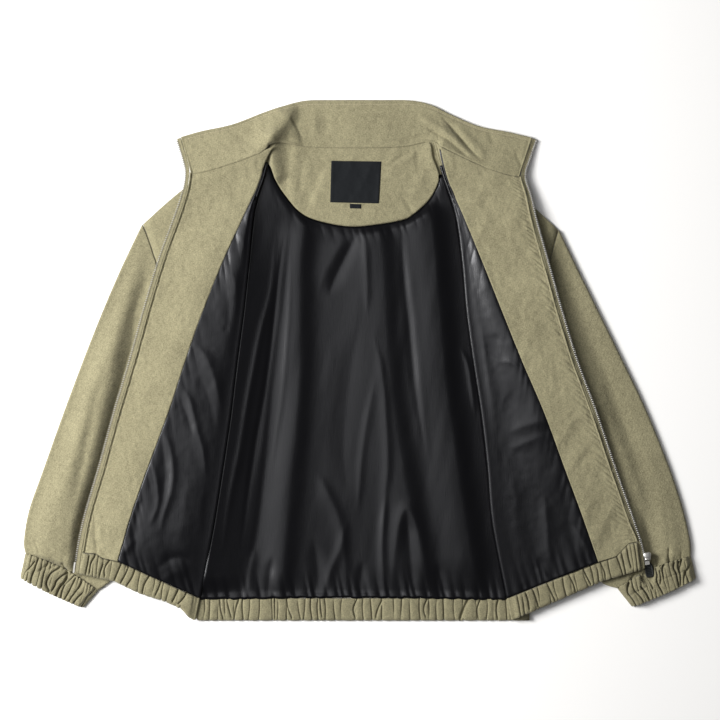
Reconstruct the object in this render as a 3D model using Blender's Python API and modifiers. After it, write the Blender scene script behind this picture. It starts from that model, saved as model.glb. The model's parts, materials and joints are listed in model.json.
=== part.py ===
"""A zip-front blouson jacket laid open on its back, with its inside up.

The fronts are turned out over the sleeves, so that each one is a U: its hidden half runs from the side seam to
the fold, and its upper half from the fold back out to the zip. +X is the wearer's left, +Y runs up the back to
the collar and +Z points up. The origin is under the middle of the jacket, on the surface it rests on.

Tables and sizes are in millimetres. The meshes are in metres.
"""

import math
from collections import namedtuple

import bmesh
import bpy
from mathutils import Vector

MM = 0.001
SIDES = ("right", "left")

# Cloth and gaps
SHELL = 1.5  # thickness of the twill shell
INNER = 1.0  # thickness of the lining, and of the facings
BAND = 2.6  # hem band: two layers of cloth with the elastic between them
CUFF = 2.0
LAID_GAP = 0.3  # between a piece and what it lies on
BUTT_GAP = 0.5  # between two pieces that meet edge to edge

# Heights of the middle of each layer above the floor, from the lowest to the highest
FLOOR_SHELL = SHELL / 2
BACK_LINING = SHELL + LAID_GAP + INNER / 2
UNDER_LINING = BACK_LINING + INNER + LAID_GAP
SKIN_STEP = SHELL / 2 + LAID_GAP + INNER / 2  # from the middle of a shell to that of the cloth on it
UNDER_SHELL = UNDER_LINING + SKIN_STEP
FOLD_RADIUS = 1.6
OVER_SHELL = UNDER_SHELL + 2 * FOLD_RADIUS
SEAM_LEVEL = SHELL + LAID_GAP + SHELL / 2  # where the hidden half of a front comes down to the back

# The hem band
BACK_BAND_TOP = 3.6
BAND_UNDER = BACK_BAND_TOP + 0.6 + LAID_GAP + BAND / 2
BAND_RADIUS = 1.9
BAND_OVER = BAND_UNDER + 2 * BAND_RADIUS
PLEAT = 0.5  # how far a pleat rises and falls

# The zip, from its free edge inward
TEETH_WIDTH = 3.0
TEETH_THICKNESS = 2.4
ZIP_STRIP = 8.5  # teeth and bare tape together
TAPE_THICKNESS = 1.0
ZIP_RISE = 0.9  # the tape is held between the shell and the facing

# One row for each cross-section of a front, from the neck to the hem. zip is the free edge, facing the edge
# between facing and lining, fold the line where the front turns under. down says where the hidden half ends:
# 0 to 1 along the armhole, 1 to 2 along the side seam. lift is how far the zip edge stands above the fold.
FrontRow = namedtuple("FrontRow", "zip facing fold down lift")
FRONT_ROWS = {
    "right": [
        FrontRow((-235, 251), (-124, 290), (-116, 293), 0.00, 0.0),
        FrontRow((-240, 223), (-131, 247), (-124, 252), 0.07, 0.3),
        FrontRow((-252, 188), (-154, 195), (-139, 203), 0.20, 0.8),
        FrontRow((-271, 136), (-181, 136), (-146, 134), 0.42, 1.2),
        FrontRow((-292, 66), (-209, 66), (-153, 66), 0.68, 1.6),
        FrontRow((-310, 1), (-232, 1), (-162, -1), 0.92, 2.0),
        FrontRow((-331, -69), (-255, -69), (-171, -76), 1.14, 2.4),
        FrontRow((-351, -142), (-282, -142), (-182, -150), 1.38, 3.0),
        FrontRow((-370, -207), (-305, -207), (-194, -225), 1.68, 3.6),
        FrontRow((-379, -249), (-323, -269), (-212, -319), 2.00, 4.0),
    ],
    "left": [
        FrontRow((228, 247), (110, 291), (101, 294), 0.00, 0.0),
        FrontRow((236, 220), (121, 245), (113, 251), 0.07, 0.3),
        FrontRow((243, 188), (144, 190), (131, 197), 0.20, 0.8),
        FrontRow((258, 134), (167, 134), (140, 134), 0.42, 1.2),
        FrontRow((277, 66), (194, 66), (146, 66), 0.68, 1.6),
        FrontRow((297, 1), (220, 1), (155, -1), 0.92, 2.0),
        FrontRow((323, -69), (250, -69), (166, -73), 1.14, 2.4),
        FrontRow((348, -142), (277, -142), (174, -142), 1.38, 3.0),
        FrontRow((371, -207), (301, -207), (181, -221), 1.68, 3.6),
        FrontRow((384.5, -248), (323, -270), (200, -319), 2.00, 4.0),
    ],
}
HEM_TOP = -319.5
HEM_BOTTOM = -349.5
# The lower edge of each front's hem band
BAND_BOTTOM_ROW = {
    "right": FrontRow((-384, -284), (-328, -296), (-218, -349), 2.12, 4.0),
    "left": FrontRow((389.5, -278), (329, -296), (206, -349), 2.12, 4.0),
}
NECKLINE_BOW = 6.0  # how far the neck edge of a front curves below a straight line
SHOULDER_BOW = {"right": 12.0, "left": 10.0}

# The seams that join a front and the back at the side
SideSeam = namedtuple("SideSeam", "armhole_top underarm hem bow")
SIDE_SEAMS = {
    "right": SideSeam((-290, 184), (-232, -66), (-231, -319.5), 8.0),
    "left": SideSeam((270, 176), (230, -69), (231, -319.5), 7.0),
}

# One row for each cross-section of a sleeve, from just below the armhole to the cuff
SleeveRow = namedtuple("SleeveRow", "outer inner bow")
SLEEVE_ROWS = {
    "right": [
        SleeveRow((-316, 131), (-243, -93), 4),
        SleeveRow((-343, 69), (-259, -127), 1),
        SleeveRow((-370, 1), (-277, -161), 0),
        SleeveRow((-398, -74), (-293, -198), 0),
        SleeveRow((-424, -147), (-308, -239), 0),
        SleeveRow((-443, -201), (-320, -271), 1),
        SleeveRow((-450, -242), (-332, -294), 4),
        SleeveRow((-448, -259), (-351, -309), 5),
    ],
    "left": [
        SleeveRow((296, 123), (238, -96), 4),
        SleeveRow((324, 66), (252, -130), 1),
        SleeveRow((354, 5), (270, -163), 0),
        SleeveRow((386, -62), (288, -201), 0),
        SleeveRow((417, -138), (305, -242), 0),
        SleeveRow((437, -198), (319, -275), 1),
        SleeveRow((447, -242), (329, -298), 4),
        SleeveRow((448, -263), (350, -306), 5),
    ],
}
CUFF_EDGE = {
    "right": SleeveRow((-455, -292), (-371, -332), -1.5),
    "left": SleeveRow((455, -293), (370, -331), -1.5),
}

# One row for each cross-section of the collar, from the right zip round the back of the neck to the left zip
CollarRow = namedtuple("CollarRow", "seam seam_height top top_height")
COLLAR_ROWS = [
    CollarRow((-225, 256.4), OVER_SHELL, (-239, 302), 2.4),
    CollarRow((-199, 260.2), OVER_SHELL, (-211, 310), 2.0),
    CollarRow((-164, 272), OVER_SHELL, (-170, 319), 1.6),
    CollarRow((-128, 291.5), OVER_SHELL - 0.4, (-130, 334), 1.4),
    CollarRow((-104, 297), 5.0, (-100, 344), 1.2),
    CollarRow((-76, 292), FLOOR_SHELL, (-72, 351), FLOOR_SHELL),
    CollarRow((-38, 290), FLOOR_SHELL, (-36, 352), FLOOR_SHELL),
    CollarRow((30, 290), FLOOR_SHELL, (30, 352), FLOOR_SHELL),
    CollarRow((66, 292), FLOOR_SHELL, (70, 351.5), FLOOR_SHELL),
    CollarRow((93, 298), 5.0, (97, 346), 1.2),
    CollarRow((118, 292), OVER_SHELL - 0.4, (124, 333), 1.4),
    CollarRow((158, 272), OVER_SHELL, (162, 317), 1.6),
    CollarRow((193.5, 257.2), OVER_SHELL, (202, 309), 2.0),
    CollarRow((218, 252.6), OVER_SHELL, (235, 301), 2.4),
]
COLLAR_ENDS = {"right": 0, "left": -1}

# The back of the neck: the seam with the collar, and the curved lower edge of the neck facing. The two outer
# points of each lie hidden under the fronts.
NECK_SEAM = [
    (-121, 291.5), (-104, 295.5), (-76, 290.8), (-38, 288.8), (30, 288.8), (66, 290.8), (93, 296.5), (107, 293),
]
FACING_CURVE = [
    (-145, 262), (-122, 267), (-111, 244), (-99, 225), (-78, 201), (-51, 189),
    (-4, 182), (57, 190), (77, 200), (97, 219), (108, 240), (110, 251), (128, 252),
]
LINING_HEM = [(-214, HEM_TOP + 1), (208, HEM_TOP + 1)]

# The largest folds of the back lining: soft ridges from one place to another
Fold = namedtuple("Fold", "start end half_width rise")
LINING_FOLDS = [
    Fold((-58, 190), (-146, -312), 10, 5.0),
    Fold((-104, 150), (-186, -300), 9, 2.4),
    Fold((-22, 150), (-34, -300), 20, 3.4),
    Fold((48, 150), (23, -312), 9, 3.6),
    Fold((82, 150), (108, -312), 10, 4.4),
    Fold((118, 130), (170, -300), 9, 3.4),
]
SLEEVE_FOLDS = {
    "right": [
        Fold((-285, 130), (-372, -150), 12, -1.6),
        Fold((-372, -150), (-392, -270), 12, -1.8),
        Fold((-404, -150), (-418, -250), 11, 0.8),
    ],
    "left": [
        Fold((268, 110), (372, -150), 12, -1.6),
        Fold((372, -150), (398, -262), 12, -1.8),
        Fold((418, -190), (420, -255), 10, 0.8),
    ],
}

# The label, and the size tab that hangs from its lower edge
LABEL_CORNERS = [(-37.5, 214), (28, 212.5), (31.5, 269), (-36, 270)]
LABEL = 0.6
TAB_CORNERS = [(-11, 206), (4, 205.5), (4, 211.5), (-11, 212)]

# How finely each panel is faceted
NECK_COLUMNS = 18
FRONT_CELLS = 18
FACING_COLUMNS = 3
LINING_COLUMNS = 3
TURN_COLUMNS = 3
UNDER_COLUMNS = 2
SLEEVE_CELLS = 13
SLEEVE_COLUMNS = 8
CUFF_COLUMNS = 22
BACK_BAND_COLUMNS = 60
FRONT_BAND_COLUMNS = 22

KHAKI = (0.40, 0.36, 0.23)
KHAKI_SHADE = (0.30, 0.27, 0.17)
SATIN_BLACK = (0.02, 0.02, 0.024)
LABEL_BLACK = (0.012, 0.014, 0.016)
BRIGHT_METAL = (0.75, 0.75, 0.74)
PULL_BLACK = (0.015, 0.017, 0.018)


# ---------------------------------------------------------------- helpers


def smooth_step(share):
    share = min(max(share, 0.0), 1.0)
    return share * share * (3 - 2 * share)


def along(values, share):
    """The value at a share of the way along evenly spaced values, on a smooth curve through all of them."""
    place = min(max(share, 0.0), 1.0) * (len(values) - 1)
    index = min(int(place), len(values) - 2)
    t = place - index
    before = values[max(index - 1, 0)]
    start = values[index]
    end = values[index + 1]
    after = values[min(index + 2, len(values) - 1)]
    rise = (end - before) * t
    bend = (2 * before - 5 * start + 4 * end - after) * (t * t)
    twist = (3 * start - before - 3 * end + after) * (t * t * t)
    return start + 0.5 * (rise + bend + twist)


def points(pairs):
    return [Vector(pair) for pair in pairs]


def column(rows, name):
    """One named column of a table: vectors where it holds places, numbers where it holds sizes."""
    values = [getattr(row, name) for row in rows]
    return points(values) if isinstance(values[0], tuple) else values


def left_of(direction):
    return Vector((-direction.y, direction.x))


def relief(place, folds):
    """How far the folds raise the cloth at a place, each dying away at both ends."""
    height = 0.0
    for fold in folds:
        start = Vector(fold.start)
        run = Vector(fold.end) - start
        share = (place - start).dot(run) / run.length_squared
        if 0 < share < 1:
            aside = (place - start - run * share).length / fold.half_width
            height += fold.rise * math.exp(-aside * aside) * math.sin(math.pi * share) ** 0.5
    return height


def new_material(name, color, roughness, metallic=0.0):
    material = bpy.data.materials.new(name)
    material.use_nodes = True
    shader = material.node_tree.nodes["Principled BSDF"]
    shader.inputs["Base Color"].default_value = (*color, 1.0)
    shader.inputs["Roughness"].default_value = roughness
    shader.inputs["Metallic"].default_value = metallic
    return material


def finish(obj, color, roughness=0.85, metallic=0.0, smooth=True):
    obj.data.materials.append(new_material(obj.name, color, roughness, metallic))
    if smooth and obj.type == "MESH":
        obj.data.shade_smooth()
    return obj


def add_object(name, data, parent=None):
    obj = bpy.data.objects.new(name, data)
    bpy.data.collections["blouson_jacket"].objects.link(obj)
    obj.parent = parent
    return obj


def surface(name, columns, rows, place):
    """An open sheet: place(column, row) gives each point, with both counted from 0."""
    sheet = bmesh.new()
    bmesh.ops.create_grid(sheet, x_segments=columns, y_segments=rows, size=1.0)
    for vertex in sheet.verts:
        i = round((vertex.co.x + 1) / 2 * columns)
        j = round((1 - vertex.co.y) / 2 * rows)
        vertex.co = Vector(place(i, j)) * MM
    bmesh.ops.remove_doubles(sheet, verts=sheet.verts, dist=0.01 * MM)
    mesh = bpy.data.meshes.new(name)
    sheet.to_mesh(mesh)
    sheet.free()
    return mesh


def wall(name, columns, rows, place, thickness, color, roughness=0.85):
    """A cloth wall with half its thickness on each side of the sheet."""
    obj = add_object(name, surface(name, columns, rows, place))
    shell = obj.modifiers.new("Thickness", "SOLIDIFY")
    shell.thickness = thickness * MM
    shell.offset = 0.0
    return finish(obj, color, roughness)


def outline_plate(name, corners, bottom, thickness, color, parent=None, holes=()):
    """A flat plate cut to an outline."""
    curve = bpy.data.curves.new(name, "CURVE")
    curve.dimensions = "2D"
    curve.fill_mode = "BOTH"
    curve.extrude = thickness / 2 * MM
    for loop in (corners, *holes):
        spline = curve.splines.new("POLY")
        spline.points.add(len(loop) - 1)
        for point, (x, y) in zip(spline.points, loop):
            point.co = (x * MM, y * MM, 0, 1)
        spline.use_cyclic_u = True
    obj = add_object(name, curve, parent)
    obj.location.z = (bottom + thickness / 2) * MM
    return finish(obj, color)


# ---------------------------------------------------------------- the back


def side_seam(side, down):
    """A place on the seam between a front and what it joins: 0 to 1 down the armhole, 1 to 2 down the side."""
    seam = SIDE_SEAMS[side]
    top = Vector(seam.armhole_top)
    underarm = Vector(seam.underarm)
    if down > 1:
        return underarm.lerp(Vector(seam.hem), down - 1)
    inward = Vector((1 if side == "right" else -1, 0))
    return top.lerp(underarm, down) + inward * seam.bow * math.sin(math.pi * down**0.8)


def shoulder(side, share):
    """A place on the shoulder edge, from the neck to the top of the armhole."""
    neck = front_rows_at(side, 0.0)[2]
    tip = Vector(SIDE_SEAMS[side].armhole_top)
    outward = left_of((neck - tip).normalized())
    if side == "left":
        outward = -outward
    return neck.lerp(tip, share) + outward * SHOULDER_BOW[side] * math.sin(math.pi * share)


def make_back_shell():
    armhole_steps = [step / 8 for step in range(1, 9)]
    shoulder_steps = [step / 6 for step in range(0, 7)]
    right = [shoulder("right", share) for share in shoulder_steps]
    right += [side_seam("right", down) for down in armhole_steps] + [side_seam("right", 2)]
    left = [shoulder("left", share) for share in shoulder_steps]
    left += [side_seam("left", down) for down in armhole_steps] + [side_seam("left", 2)]
    neck = points(NECK_SEAM[1:-1])
    outline = list(reversed(right)) + neck + left
    outline_plate("back_shell", [(p.x, p.y) for p in outline], 0.0, SHELL, KHAKI_SHADE)


def facing_edge(share, below=0.0):
    """The lower edge of the neck facing, in short straight runs, or a line a little below it."""
    place = share * NECK_COLUMNS
    index = min(int(place), NECK_COLUMNS - 1)
    curve = points(FACING_CURVE)
    ends = []
    for step in (index, index + 1):
        tangent = along(curve, (step + 0.2) / NECK_COLUMNS) - along(curve, (step - 0.2) / NECK_COLUMNS)
        ends.append(along(curve, step / NECK_COLUMNS) - left_of(tangent.normalized()) * below)
    return ends[0].lerp(ends[1], place - index)


def make_neck_facing():
    rows = 2

    def place(i, j):
        share = i / NECK_COLUMNS
        plan = along(points(NECK_SEAM), share).lerp(facing_edge(share), j / rows)
        return (plan.x, plan.y, BACK_LINING)

    wall("neck_facing", NECK_COLUMNS, rows, place, INNER, KHAKI)


def make_back_lining():
    columns, rows = 2 * NECK_COLUMNS, 10
    covered = 4.5  # columns at each side that lie flat under the fronts

    def place(i, j):
        top = facing_edge(i / columns, BUTT_GAP + 0.1)
        plan = top.lerp(along(points(LINING_HEM), i / columns), j / rows)
        open_part = smooth_step((min(i, columns - i) - covered / 2) / covered)
        rise = open_part * math.sin(math.pi * j / rows) ** 0.4 * (0.8 + relief(plan, LINING_FOLDS))
        return (plan.x, plan.y, BACK_LINING + rise)

    wall("back_lining", columns, rows, place, INNER, SATIN_BLACK, 0.45)


def make_labels():
    bottom = BACK_LINING + INNER / 2 + LAID_GAP
    outline_plate("label", LABEL_CORNERS, bottom, LABEL, LABEL_BLACK)
    outline_plate("size_tab", TAB_CORNERS, bottom, LABEL, LABEL_BLACK)


# ---------------------------------------------------------------- the fronts


def front_rows_at(side, share):
    """The plan of a front's cross-section: its cloth edge, its facing edge, the centre of its fold and the
    direction in which the fold bulges.
    """
    rows = FRONT_ROWS[side]
    spaces = len(rows) - 1
    on_zip = (1 + spaces * (1 - share)) / (spaces + 1 + len(ZIP_COLLAR_SHARES))
    edge = zip_point(side, on_zip, ZIP_STRIP + BUTT_GAP).to_2d()
    facing = along(column(rows, "facing"), share)
    folds = column(rows, "fold")
    run = along(folds, share + 0.02) - along(folds, share - 0.02)
    inward = left_of(run.normalized()) * (1 if side == "right" else -1)
    reach = FOLD_RADIUS + SKIN_STEP + INNER / 2
    return edge, facing, along(folds, share) - inward * reach, inward


def front_point(side, across, share, out=0.0):
    """A point of a front. across is 0 at the zip, 1 at the facing's edge, 2 at the fold, 3 under the fold and
    4 at the side seam; share runs from the neck to the hem; out moves the point out of the shell.
    """
    rows = FRONT_ROWS[side]
    edge, facing, turn, inward = front_rows_at(side, share)
    lift = along(column(rows, "lift"), share) * (1 - smooth_step(across / 1.6))
    if across <= 1:
        plan = edge.lerp(facing, across)
        plan.y -= NECKLINE_BOW * math.sin(math.pi * across**0.7) * max(0.0, 1 - 6 * share)
        return (plan.x, plan.y, OVER_SHELL + lift + out)
    if across <= 2:
        plan = facing.lerp(turn, across - 1)
        return (plan.x, plan.y, OVER_SHELL + lift + out)
    if across <= 3:
        angle = math.pi * (across - 2)
        plan = turn + inward * (FOLD_RADIUS + out) * math.sin(angle)
        return (plan.x, plan.y, UNDER_SHELL + FOLD_RADIUS + (FOLD_RADIUS + out) * math.cos(angle))
    down = along(column(rows, "down"), share)
    hidden = across - 3
    seam = side_seam(side, down)
    if down > 1:
        seam -= Vector((BUTT_GAP if side == "left" else -BUTT_GAP, 0))
    plan = turn.lerp(seam, hidden)
    at_shoulder = max(0.0, 1 - 18 * share)
    plan = plan.lerp(shoulder(side, hidden), at_shoulder)
    closing = max(at_shoulder, smooth_step((down - 1) / 0.12))
    drop = (UNDER_SHELL - SEAM_LEVEL) * smooth_step(2 * hidden - 1) * closing
    return (plan.x, plan.y, UNDER_SHELL - out - drop)


def front_columns():
    """The values of across at the columns of a front's shell."""
    facing = [i / FACING_COLUMNS for i in range(FACING_COLUMNS)]
    lining = [1 + i / LINING_COLUMNS for i in range(LINING_COLUMNS)]
    turned = [2 + i / TURN_COLUMNS for i in range(TURN_COLUMNS)]
    under = [3 + i / UNDER_COLUMNS for i in range(UNDER_COLUMNS + 1)]
    return facing + lining + turned + under


def make_front(side):
    across = front_columns()

    def panel(name, first, last, top_row, out, thickness, color, roughness):
        def place(i, j):
            share = (top_row + j) / FRONT_CELLS
            step = across[first + i]
            if first and i == 0:
                edge, facing, turn, inward = front_rows_at(side, share)
                step += (BUTT_GAP + 0.2) / (turn - facing).length
            return front_point(side, step, share, out)

        wall(f"{name}_{side}", last - first, FRONT_CELLS - top_row, place, thickness, color, roughness)

    turned_under = FACING_COLUMNS + LINING_COLUMNS + TURN_COLUMNS
    panel("front_shell", 0, len(across) - 1, 0, 0.0, SHELL, KHAKI_SHADE, 0.85)
    panel("front_facing", 0, FACING_COLUMNS, 0, SKIN_STEP, INNER, KHAKI, 0.85)
    panel("front_lining", FACING_COLUMNS, turned_under + 1, 1, SKIN_STEP, INNER, SATIN_BLACK, 0.45)


# ---------------------------------------------------------------- sleeves and cuffs


def flattened_ring(columns, arc_steps=3):
    """The corners of a flattened ring: the upper wall, the inner fold, the lower wall and the outer fold.

    Each is (part, share of that part); the last corner closes on the first.
    """
    ring = [("upper", i / columns) for i in range(columns + 1)]
    ring += [("inner", i / arc_steps) for i in range(1, arc_steps + 1)]
    ring += [("outer", i / arc_steps) for i in range(arc_steps + 1)]
    return ring


def ring_point(outer, inner, bow, corner, low, high, rise=0.0):
    """A point of a flattened ring that lies between two places, bowed towards the shoulder."""
    part, share = corner
    width = (inner - outer).length
    run = (inner - outer).normalized()
    radius = (high - low) / 2
    if part == "upper":
        reach = radius + share * (width - 2 * radius)
        height = high + rise
    elif part == "inner":
        reach = width - radius + radius * math.sin(math.pi * share)
        height = low + radius + radius * math.cos(math.pi * share)
    else:
        reach = radius - radius * math.sin(math.pi * share)
        height = low + radius - radius * math.cos(math.pi * share)
    towards_shoulder = left_of(run)
    if towards_shoulder.y < 0:
        towards_shoulder = -towards_shoulder
    curve = bow * math.sin(math.pi * min(max(reach / width, 0.0), 1.0))
    plan = outer + run * reach + towards_shoulder * curve
    return plan, height


def sleeve_section(side, share):
    """The two edges of a sleeve and its bow, from the armhole to the cuff."""
    seam = SIDE_SEAMS[side]
    clear = Vector((-BUTT_GAP - 0.5 if side == "right" else BUTT_GAP + 0.5, 0))
    first = SleeveRow(tuple(Vector(seam.armhole_top) + clear), tuple(Vector(seam.underarm) + clear), 0)
    rows = [first] + SLEEVE_ROWS[side]
    return along(column(rows, "outer"), share), along(column(rows, "inner"), share), along(column(rows, "bow"), share)


def make_sleeve(side):
    ring = flattened_ring(SLEEVE_COLUMNS)
    inward = 1 if side == "right" else -1

    def place(i, j):
        outer, inner, bow = sleeve_section(side, j / SLEEVE_CELLS)
        plan, height = ring_point(outer, inner, bow, ring[i], FLOOR_SHELL, UNDER_SHELL)
        part, share = ring[i]
        if part == "upper":
            height += relief(plan, SLEEVE_FOLDS[side]) * smooth_step(4 * share) * smooth_step(4 - 4 * share)
        down = share if part == "upper" else (1.0 if part == "inner" else 0.0)
        armhole = SIDE_SEAMS[side].bow * math.sin(math.pi * down**0.8)
        plan.x += inward * armhole * max(0.0, 1 - 8 * j / SLEEVE_CELLS)
        return (plan.x, plan.y, height)

    wall(f"sleeve_{side}", len(ring) - 1, SLEEVE_CELLS, place, SHELL, KHAKI)


def make_cuff(side):
    ring = flattened_ring(CUFF_COLUMNS)
    rows = 2
    low = CUFF / 2
    high = low + CUFF + 1.4

    def place(i, j):
        top = SLEEVE_ROWS[side][-1]
        share = (j + 0.03) / (rows + 0.03)
        outer = Vector(top.outer).lerp(Vector(CUFF_EDGE[side].outer), share)
        inner = Vector(top.inner).lerp(Vector(CUFF_EDGE[side].inner), share)
        bow = top.bow + (CUFF_EDGE[side].bow - top.bow) * share
        pleat = PLEAT * (1 if i % 2 else -1) * (0.75 + 0.25 * math.sin(2.3 * i))
        plan, height = ring_point(outer, inner, bow, ring[i], low, high, pleat)
        return (plan.x, plan.y, height)

    wall(f"cuff_{side}", len(ring) - 1, rows, place, CUFF, KHAKI)


# ---------------------------------------------------------------- hem bands


def make_back_band():
    """A flat underside on the floor, and a pleated top."""
    half_width = SIDE_SEAMS["left"].hem[0]
    sheet = bmesh.new()
    bmesh.ops.create_grid(sheet, x_segments=BACK_BAND_COLUMNS, y_segments=1, size=1.0)
    top = sheet.verts[:]
    made = bmesh.ops.extrude_face_region(sheet, geom=sheet.faces[:])
    base = [part for part in made["geom"] if isinstance(part, bmesh.types.BMVert)]
    for vertex in top + base:
        i = round((vertex.co.x + 1) / 2 * BACK_BAND_COLUMNS)
        pleat = PLEAT * (1 if i % 2 else -1) * (0.75 + 0.25 * math.sin(1.9 * i))
        height = BACK_BAND_TOP + pleat if vertex in base else 0.0
        edge = HEM_TOP - BUTT_GAP if vertex.co.y > 0 else HEM_BOTTOM
        vertex.co = Vector((vertex.co.x * half_width, edge, height)) * MM
    bmesh.ops.recalc_face_normals(sheet, faces=sheet.faces[:])
    mesh = bpy.data.meshes.new("hem_band_back")
    sheet.to_mesh(mesh)
    sheet.free()
    finish(add_object("hem_band_back", mesh), KHAKI_SHADE)


def make_front_band(side):
    """The band of a front: pleated along the top, turned under at the fold, and short below it."""
    rows = [FRONT_ROWS[side][-1], BAND_BOTTOM_ROW[side]]
    reach = BAND_RADIUS + BAND / 2
    turn_columns = 4

    def place(i, j):
        upper, lower = rows
        share = 0.03 + 0.97 * j
        zip_edge = Vector(upper.zip).lerp(Vector(lower.zip), share)
        facing = Vector(upper.facing).lerp(Vector(lower.facing), share)
        fold = Vector(upper.fold).lerp(Vector(lower.fold), share)
        edge = zip_edge + (facing - zip_edge).normalized() * (ZIP_STRIP + BUTT_GAP)
        run_down = (Vector(lower.fold) - Vector(upper.fold)).normalized()
        inward = left_of(run_down) * (1 if side == "right" else -1)
        turn = fold - inward * reach
        if i <= FRONT_BAND_COLUMNS:
            run = i / FRONT_BAND_COLUMNS * 2
            plan = edge.lerp(facing, run) if run <= 1 else facing.lerp(turn, run - 1)
            lift = upper.lift * (1 - smooth_step(run / 1.6))
            pleat = PLEAT * (1 if i % 2 else -1) * (0.75 + 0.25 * math.sin(2.7 * i)) * smooth_step((2 - run) * 4)
            return (plan.x, plan.y, BAND_OVER + lift + pleat)
        if i <= FRONT_BAND_COLUMNS + turn_columns:
            angle = math.pi * (i - FRONT_BAND_COLUMNS) / turn_columns
            plan = turn + inward * BAND_RADIUS * math.sin(angle)
            return (plan.x, plan.y, BAND_UNDER + BAND_RADIUS + BAND_RADIUS * math.cos(angle))
        seam = Vector((SIDE_SEAMS[side].hem[0], HEM_TOP - BUTT_GAP if j == 0 else HEM_BOTTOM))
        return (seam.x, seam.y, BAND_UNDER)

    wall(f"hem_band_{side}", FRONT_BAND_COLUMNS + turn_columns + 1, 1, place, BAND, KHAKI)


# ---------------------------------------------------------------- collar


def make_collar():
    columns, rows = 2 * (len(COLLAR_ROWS) - 1), 2
    seam = column(COLLAR_ROWS, "seam")
    seam_height = column(COLLAR_ROWS, "seam_height")
    top = column(COLLAR_ROWS, "top")
    top_height = column(COLLAR_ROWS, "top_height")

    def layer(name, out, thickness, color):
        def place(i, j):
            share = i / columns
            plan = along(seam, share).lerp(along(top, share), 1 - j / rows)
            low = along(top_height, share)
            height = low + (along(seam_height, share) - low) * (j / rows) ** 1.3
            return (plan.x, plan.y, max(height, FLOOR_SHELL) + out)

        wall(name, columns, rows, place, thickness, color)

    layer("collar_outer", 0.0, SHELL, KHAKI_SHADE)
    layer("collar_inner", SKIN_STEP, INNER, KHAKI)


# ---------------------------------------------------------------- zip

ZIP_COLLAR_SHARES = (0.36, 0.68, 0.98)  # rows of the zip up the end of the collar
TEETH_FIRST_CELL = 1  # the teeth start above the pin and the retainer box


def zip_rows(side):
    """The free edge of the zip from the hem to the top of the collar: place, inward direction and height."""
    rows = [BAND_BOTTOM_ROW[side]] + list(reversed(FRONT_ROWS[side]))
    edges = [Vector(row.zip) for row in rows]
    inward = [(Vector(row.facing) - Vector(row.zip)).normalized() for row in rows]
    heights = [OVER_SHELL + row.lift + ZIP_RISE for row in rows]
    end = COLLAR_ROWS[COLLAR_ENDS[side]]
    next_row = COLLAR_ROWS[1 if side == "right" else -2]
    for share in ZIP_COLLAR_SHARES:
        corner = Vector(end.seam).lerp(Vector(end.top), share)
        beside = Vector(next_row.seam).lerp(Vector(next_row.top), share)
        direction = (beside - corner).normalized()
        edges.append(corner - direction * (ZIP_STRIP + BUTT_GAP))
        inward.append(direction)
        drop = (1 - share) ** 1.3
        heights.append(end.top_height + (end.seam_height - end.top_height) * drop + ZIP_RISE)
    return edges, inward, heights


def zip_point(side, share, reach):
    """A point of the zip: share from the hem to the collar's top, reach inward from the free edge."""
    edges, inward, heights = zip_rows(side)
    plan = along(edges, share) + along(inward, share).normalized() * reach
    return Vector((plan.x, plan.y, along(heights, share)))


def make_zip(side):
    spaces = len(zip_rows(side)[0]) - 1
    cells = 2 * spaces
    tape = (TEETH_WIDTH + LAID_GAP, ZIP_STRIP)
    teeth = (0.0, TEETH_WIDTH)

    def strip(name, reaches, first, thickness, color, roughness, metallic):
        def place(i, j):
            return zip_point(side, (cells - j) / cells, reaches[i])

        obj = wall(f"{name}_{side}", 1, cells - first, place, thickness, color, roughness)
        obj.data.materials[0].node_tree.nodes["Principled BSDF"].inputs["Metallic"].default_value = metallic

    strip("zip_tape", tape, 0, TAPE_THICKNESS, KHAKI, 0.8, 0.0)
    strip("zip_teeth", teeth, TEETH_FIRST_CELL, TEETH_THICKNESS, BRIGHT_METAL, 0.35, 1.0)


def block(name, size, center, color, roughness, metallic, parent=None, bevel=0.3):
    """A small block with rounded edges."""
    shape = bmesh.new()
    bmesh.ops.create_cube(shape, size=1.0)
    for vertex in shape.verts:
        vertex.co = Vector([(c * s + m) * MM for c, s, m in zip(vertex.co, size, center)])
    mesh = bpy.data.meshes.new(name)
    shape.to_mesh(mesh)
    shape.free()
    obj = add_object(name, mesh, parent)
    if bevel:
        rounding = obj.modifiers.new("Rounding", "BEVEL")
        rounding.width = bevel * MM
        rounding.segments = 1
    return finish(obj, color, roughness, metallic, smooth=False)


def fastener_frame(name, side, share):
    """An empty on the free edge of a zip, with its Y axis up the zip."""
    place = zip_point(side, share, 0.0)
    ahead = zip_point(side, share + 0.02, 0.0)
    frame = add_object(name, None)
    frame.location = place * MM
    frame.rotation_euler.z = math.atan2(place.x - ahead.x, ahead.y - place.y)
    return frame


SLIDER_SHARE = 0.044
BOX_DOWN = 8.6  # from the middle of the slider to the middle of the retainer box
PLATE = 1.2
PLATE_INNER = TEETH_THICKNESS / 2 + 0.4  # from the tape's middle to the inside of a slider plate
HINGE_DROP = 3.9  # from the tape's middle down to the hinge of the pull
WIRE = 0.6  # radius of the link's wire
LINK_WIDTH = 6.4
LINK_LENGTH = 7.4
PULL_TILT = math.radians(3.9)
TAB_WIDTH = 11.5
TAB_START = 9.2
TAB_END = 29.0
TAB_THICKNESS = 1.8
NECK_WIDTH = 4.4
NECK_WRAP = 1.7  # how far the neck reaches beyond the wire's middle
NECK_THICKNESS = 2.8


def set_aside(helper):
    """Moves a shape that only cuts or joins another out of the jacket's collection."""
    helper.hide_render = True
    helper.display_type = "WIRE"
    for collection in helper.users_collection:
        collection.objects.unlink(helper)
    bpy.data.collections["cutters"].objects.link(helper)


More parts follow.
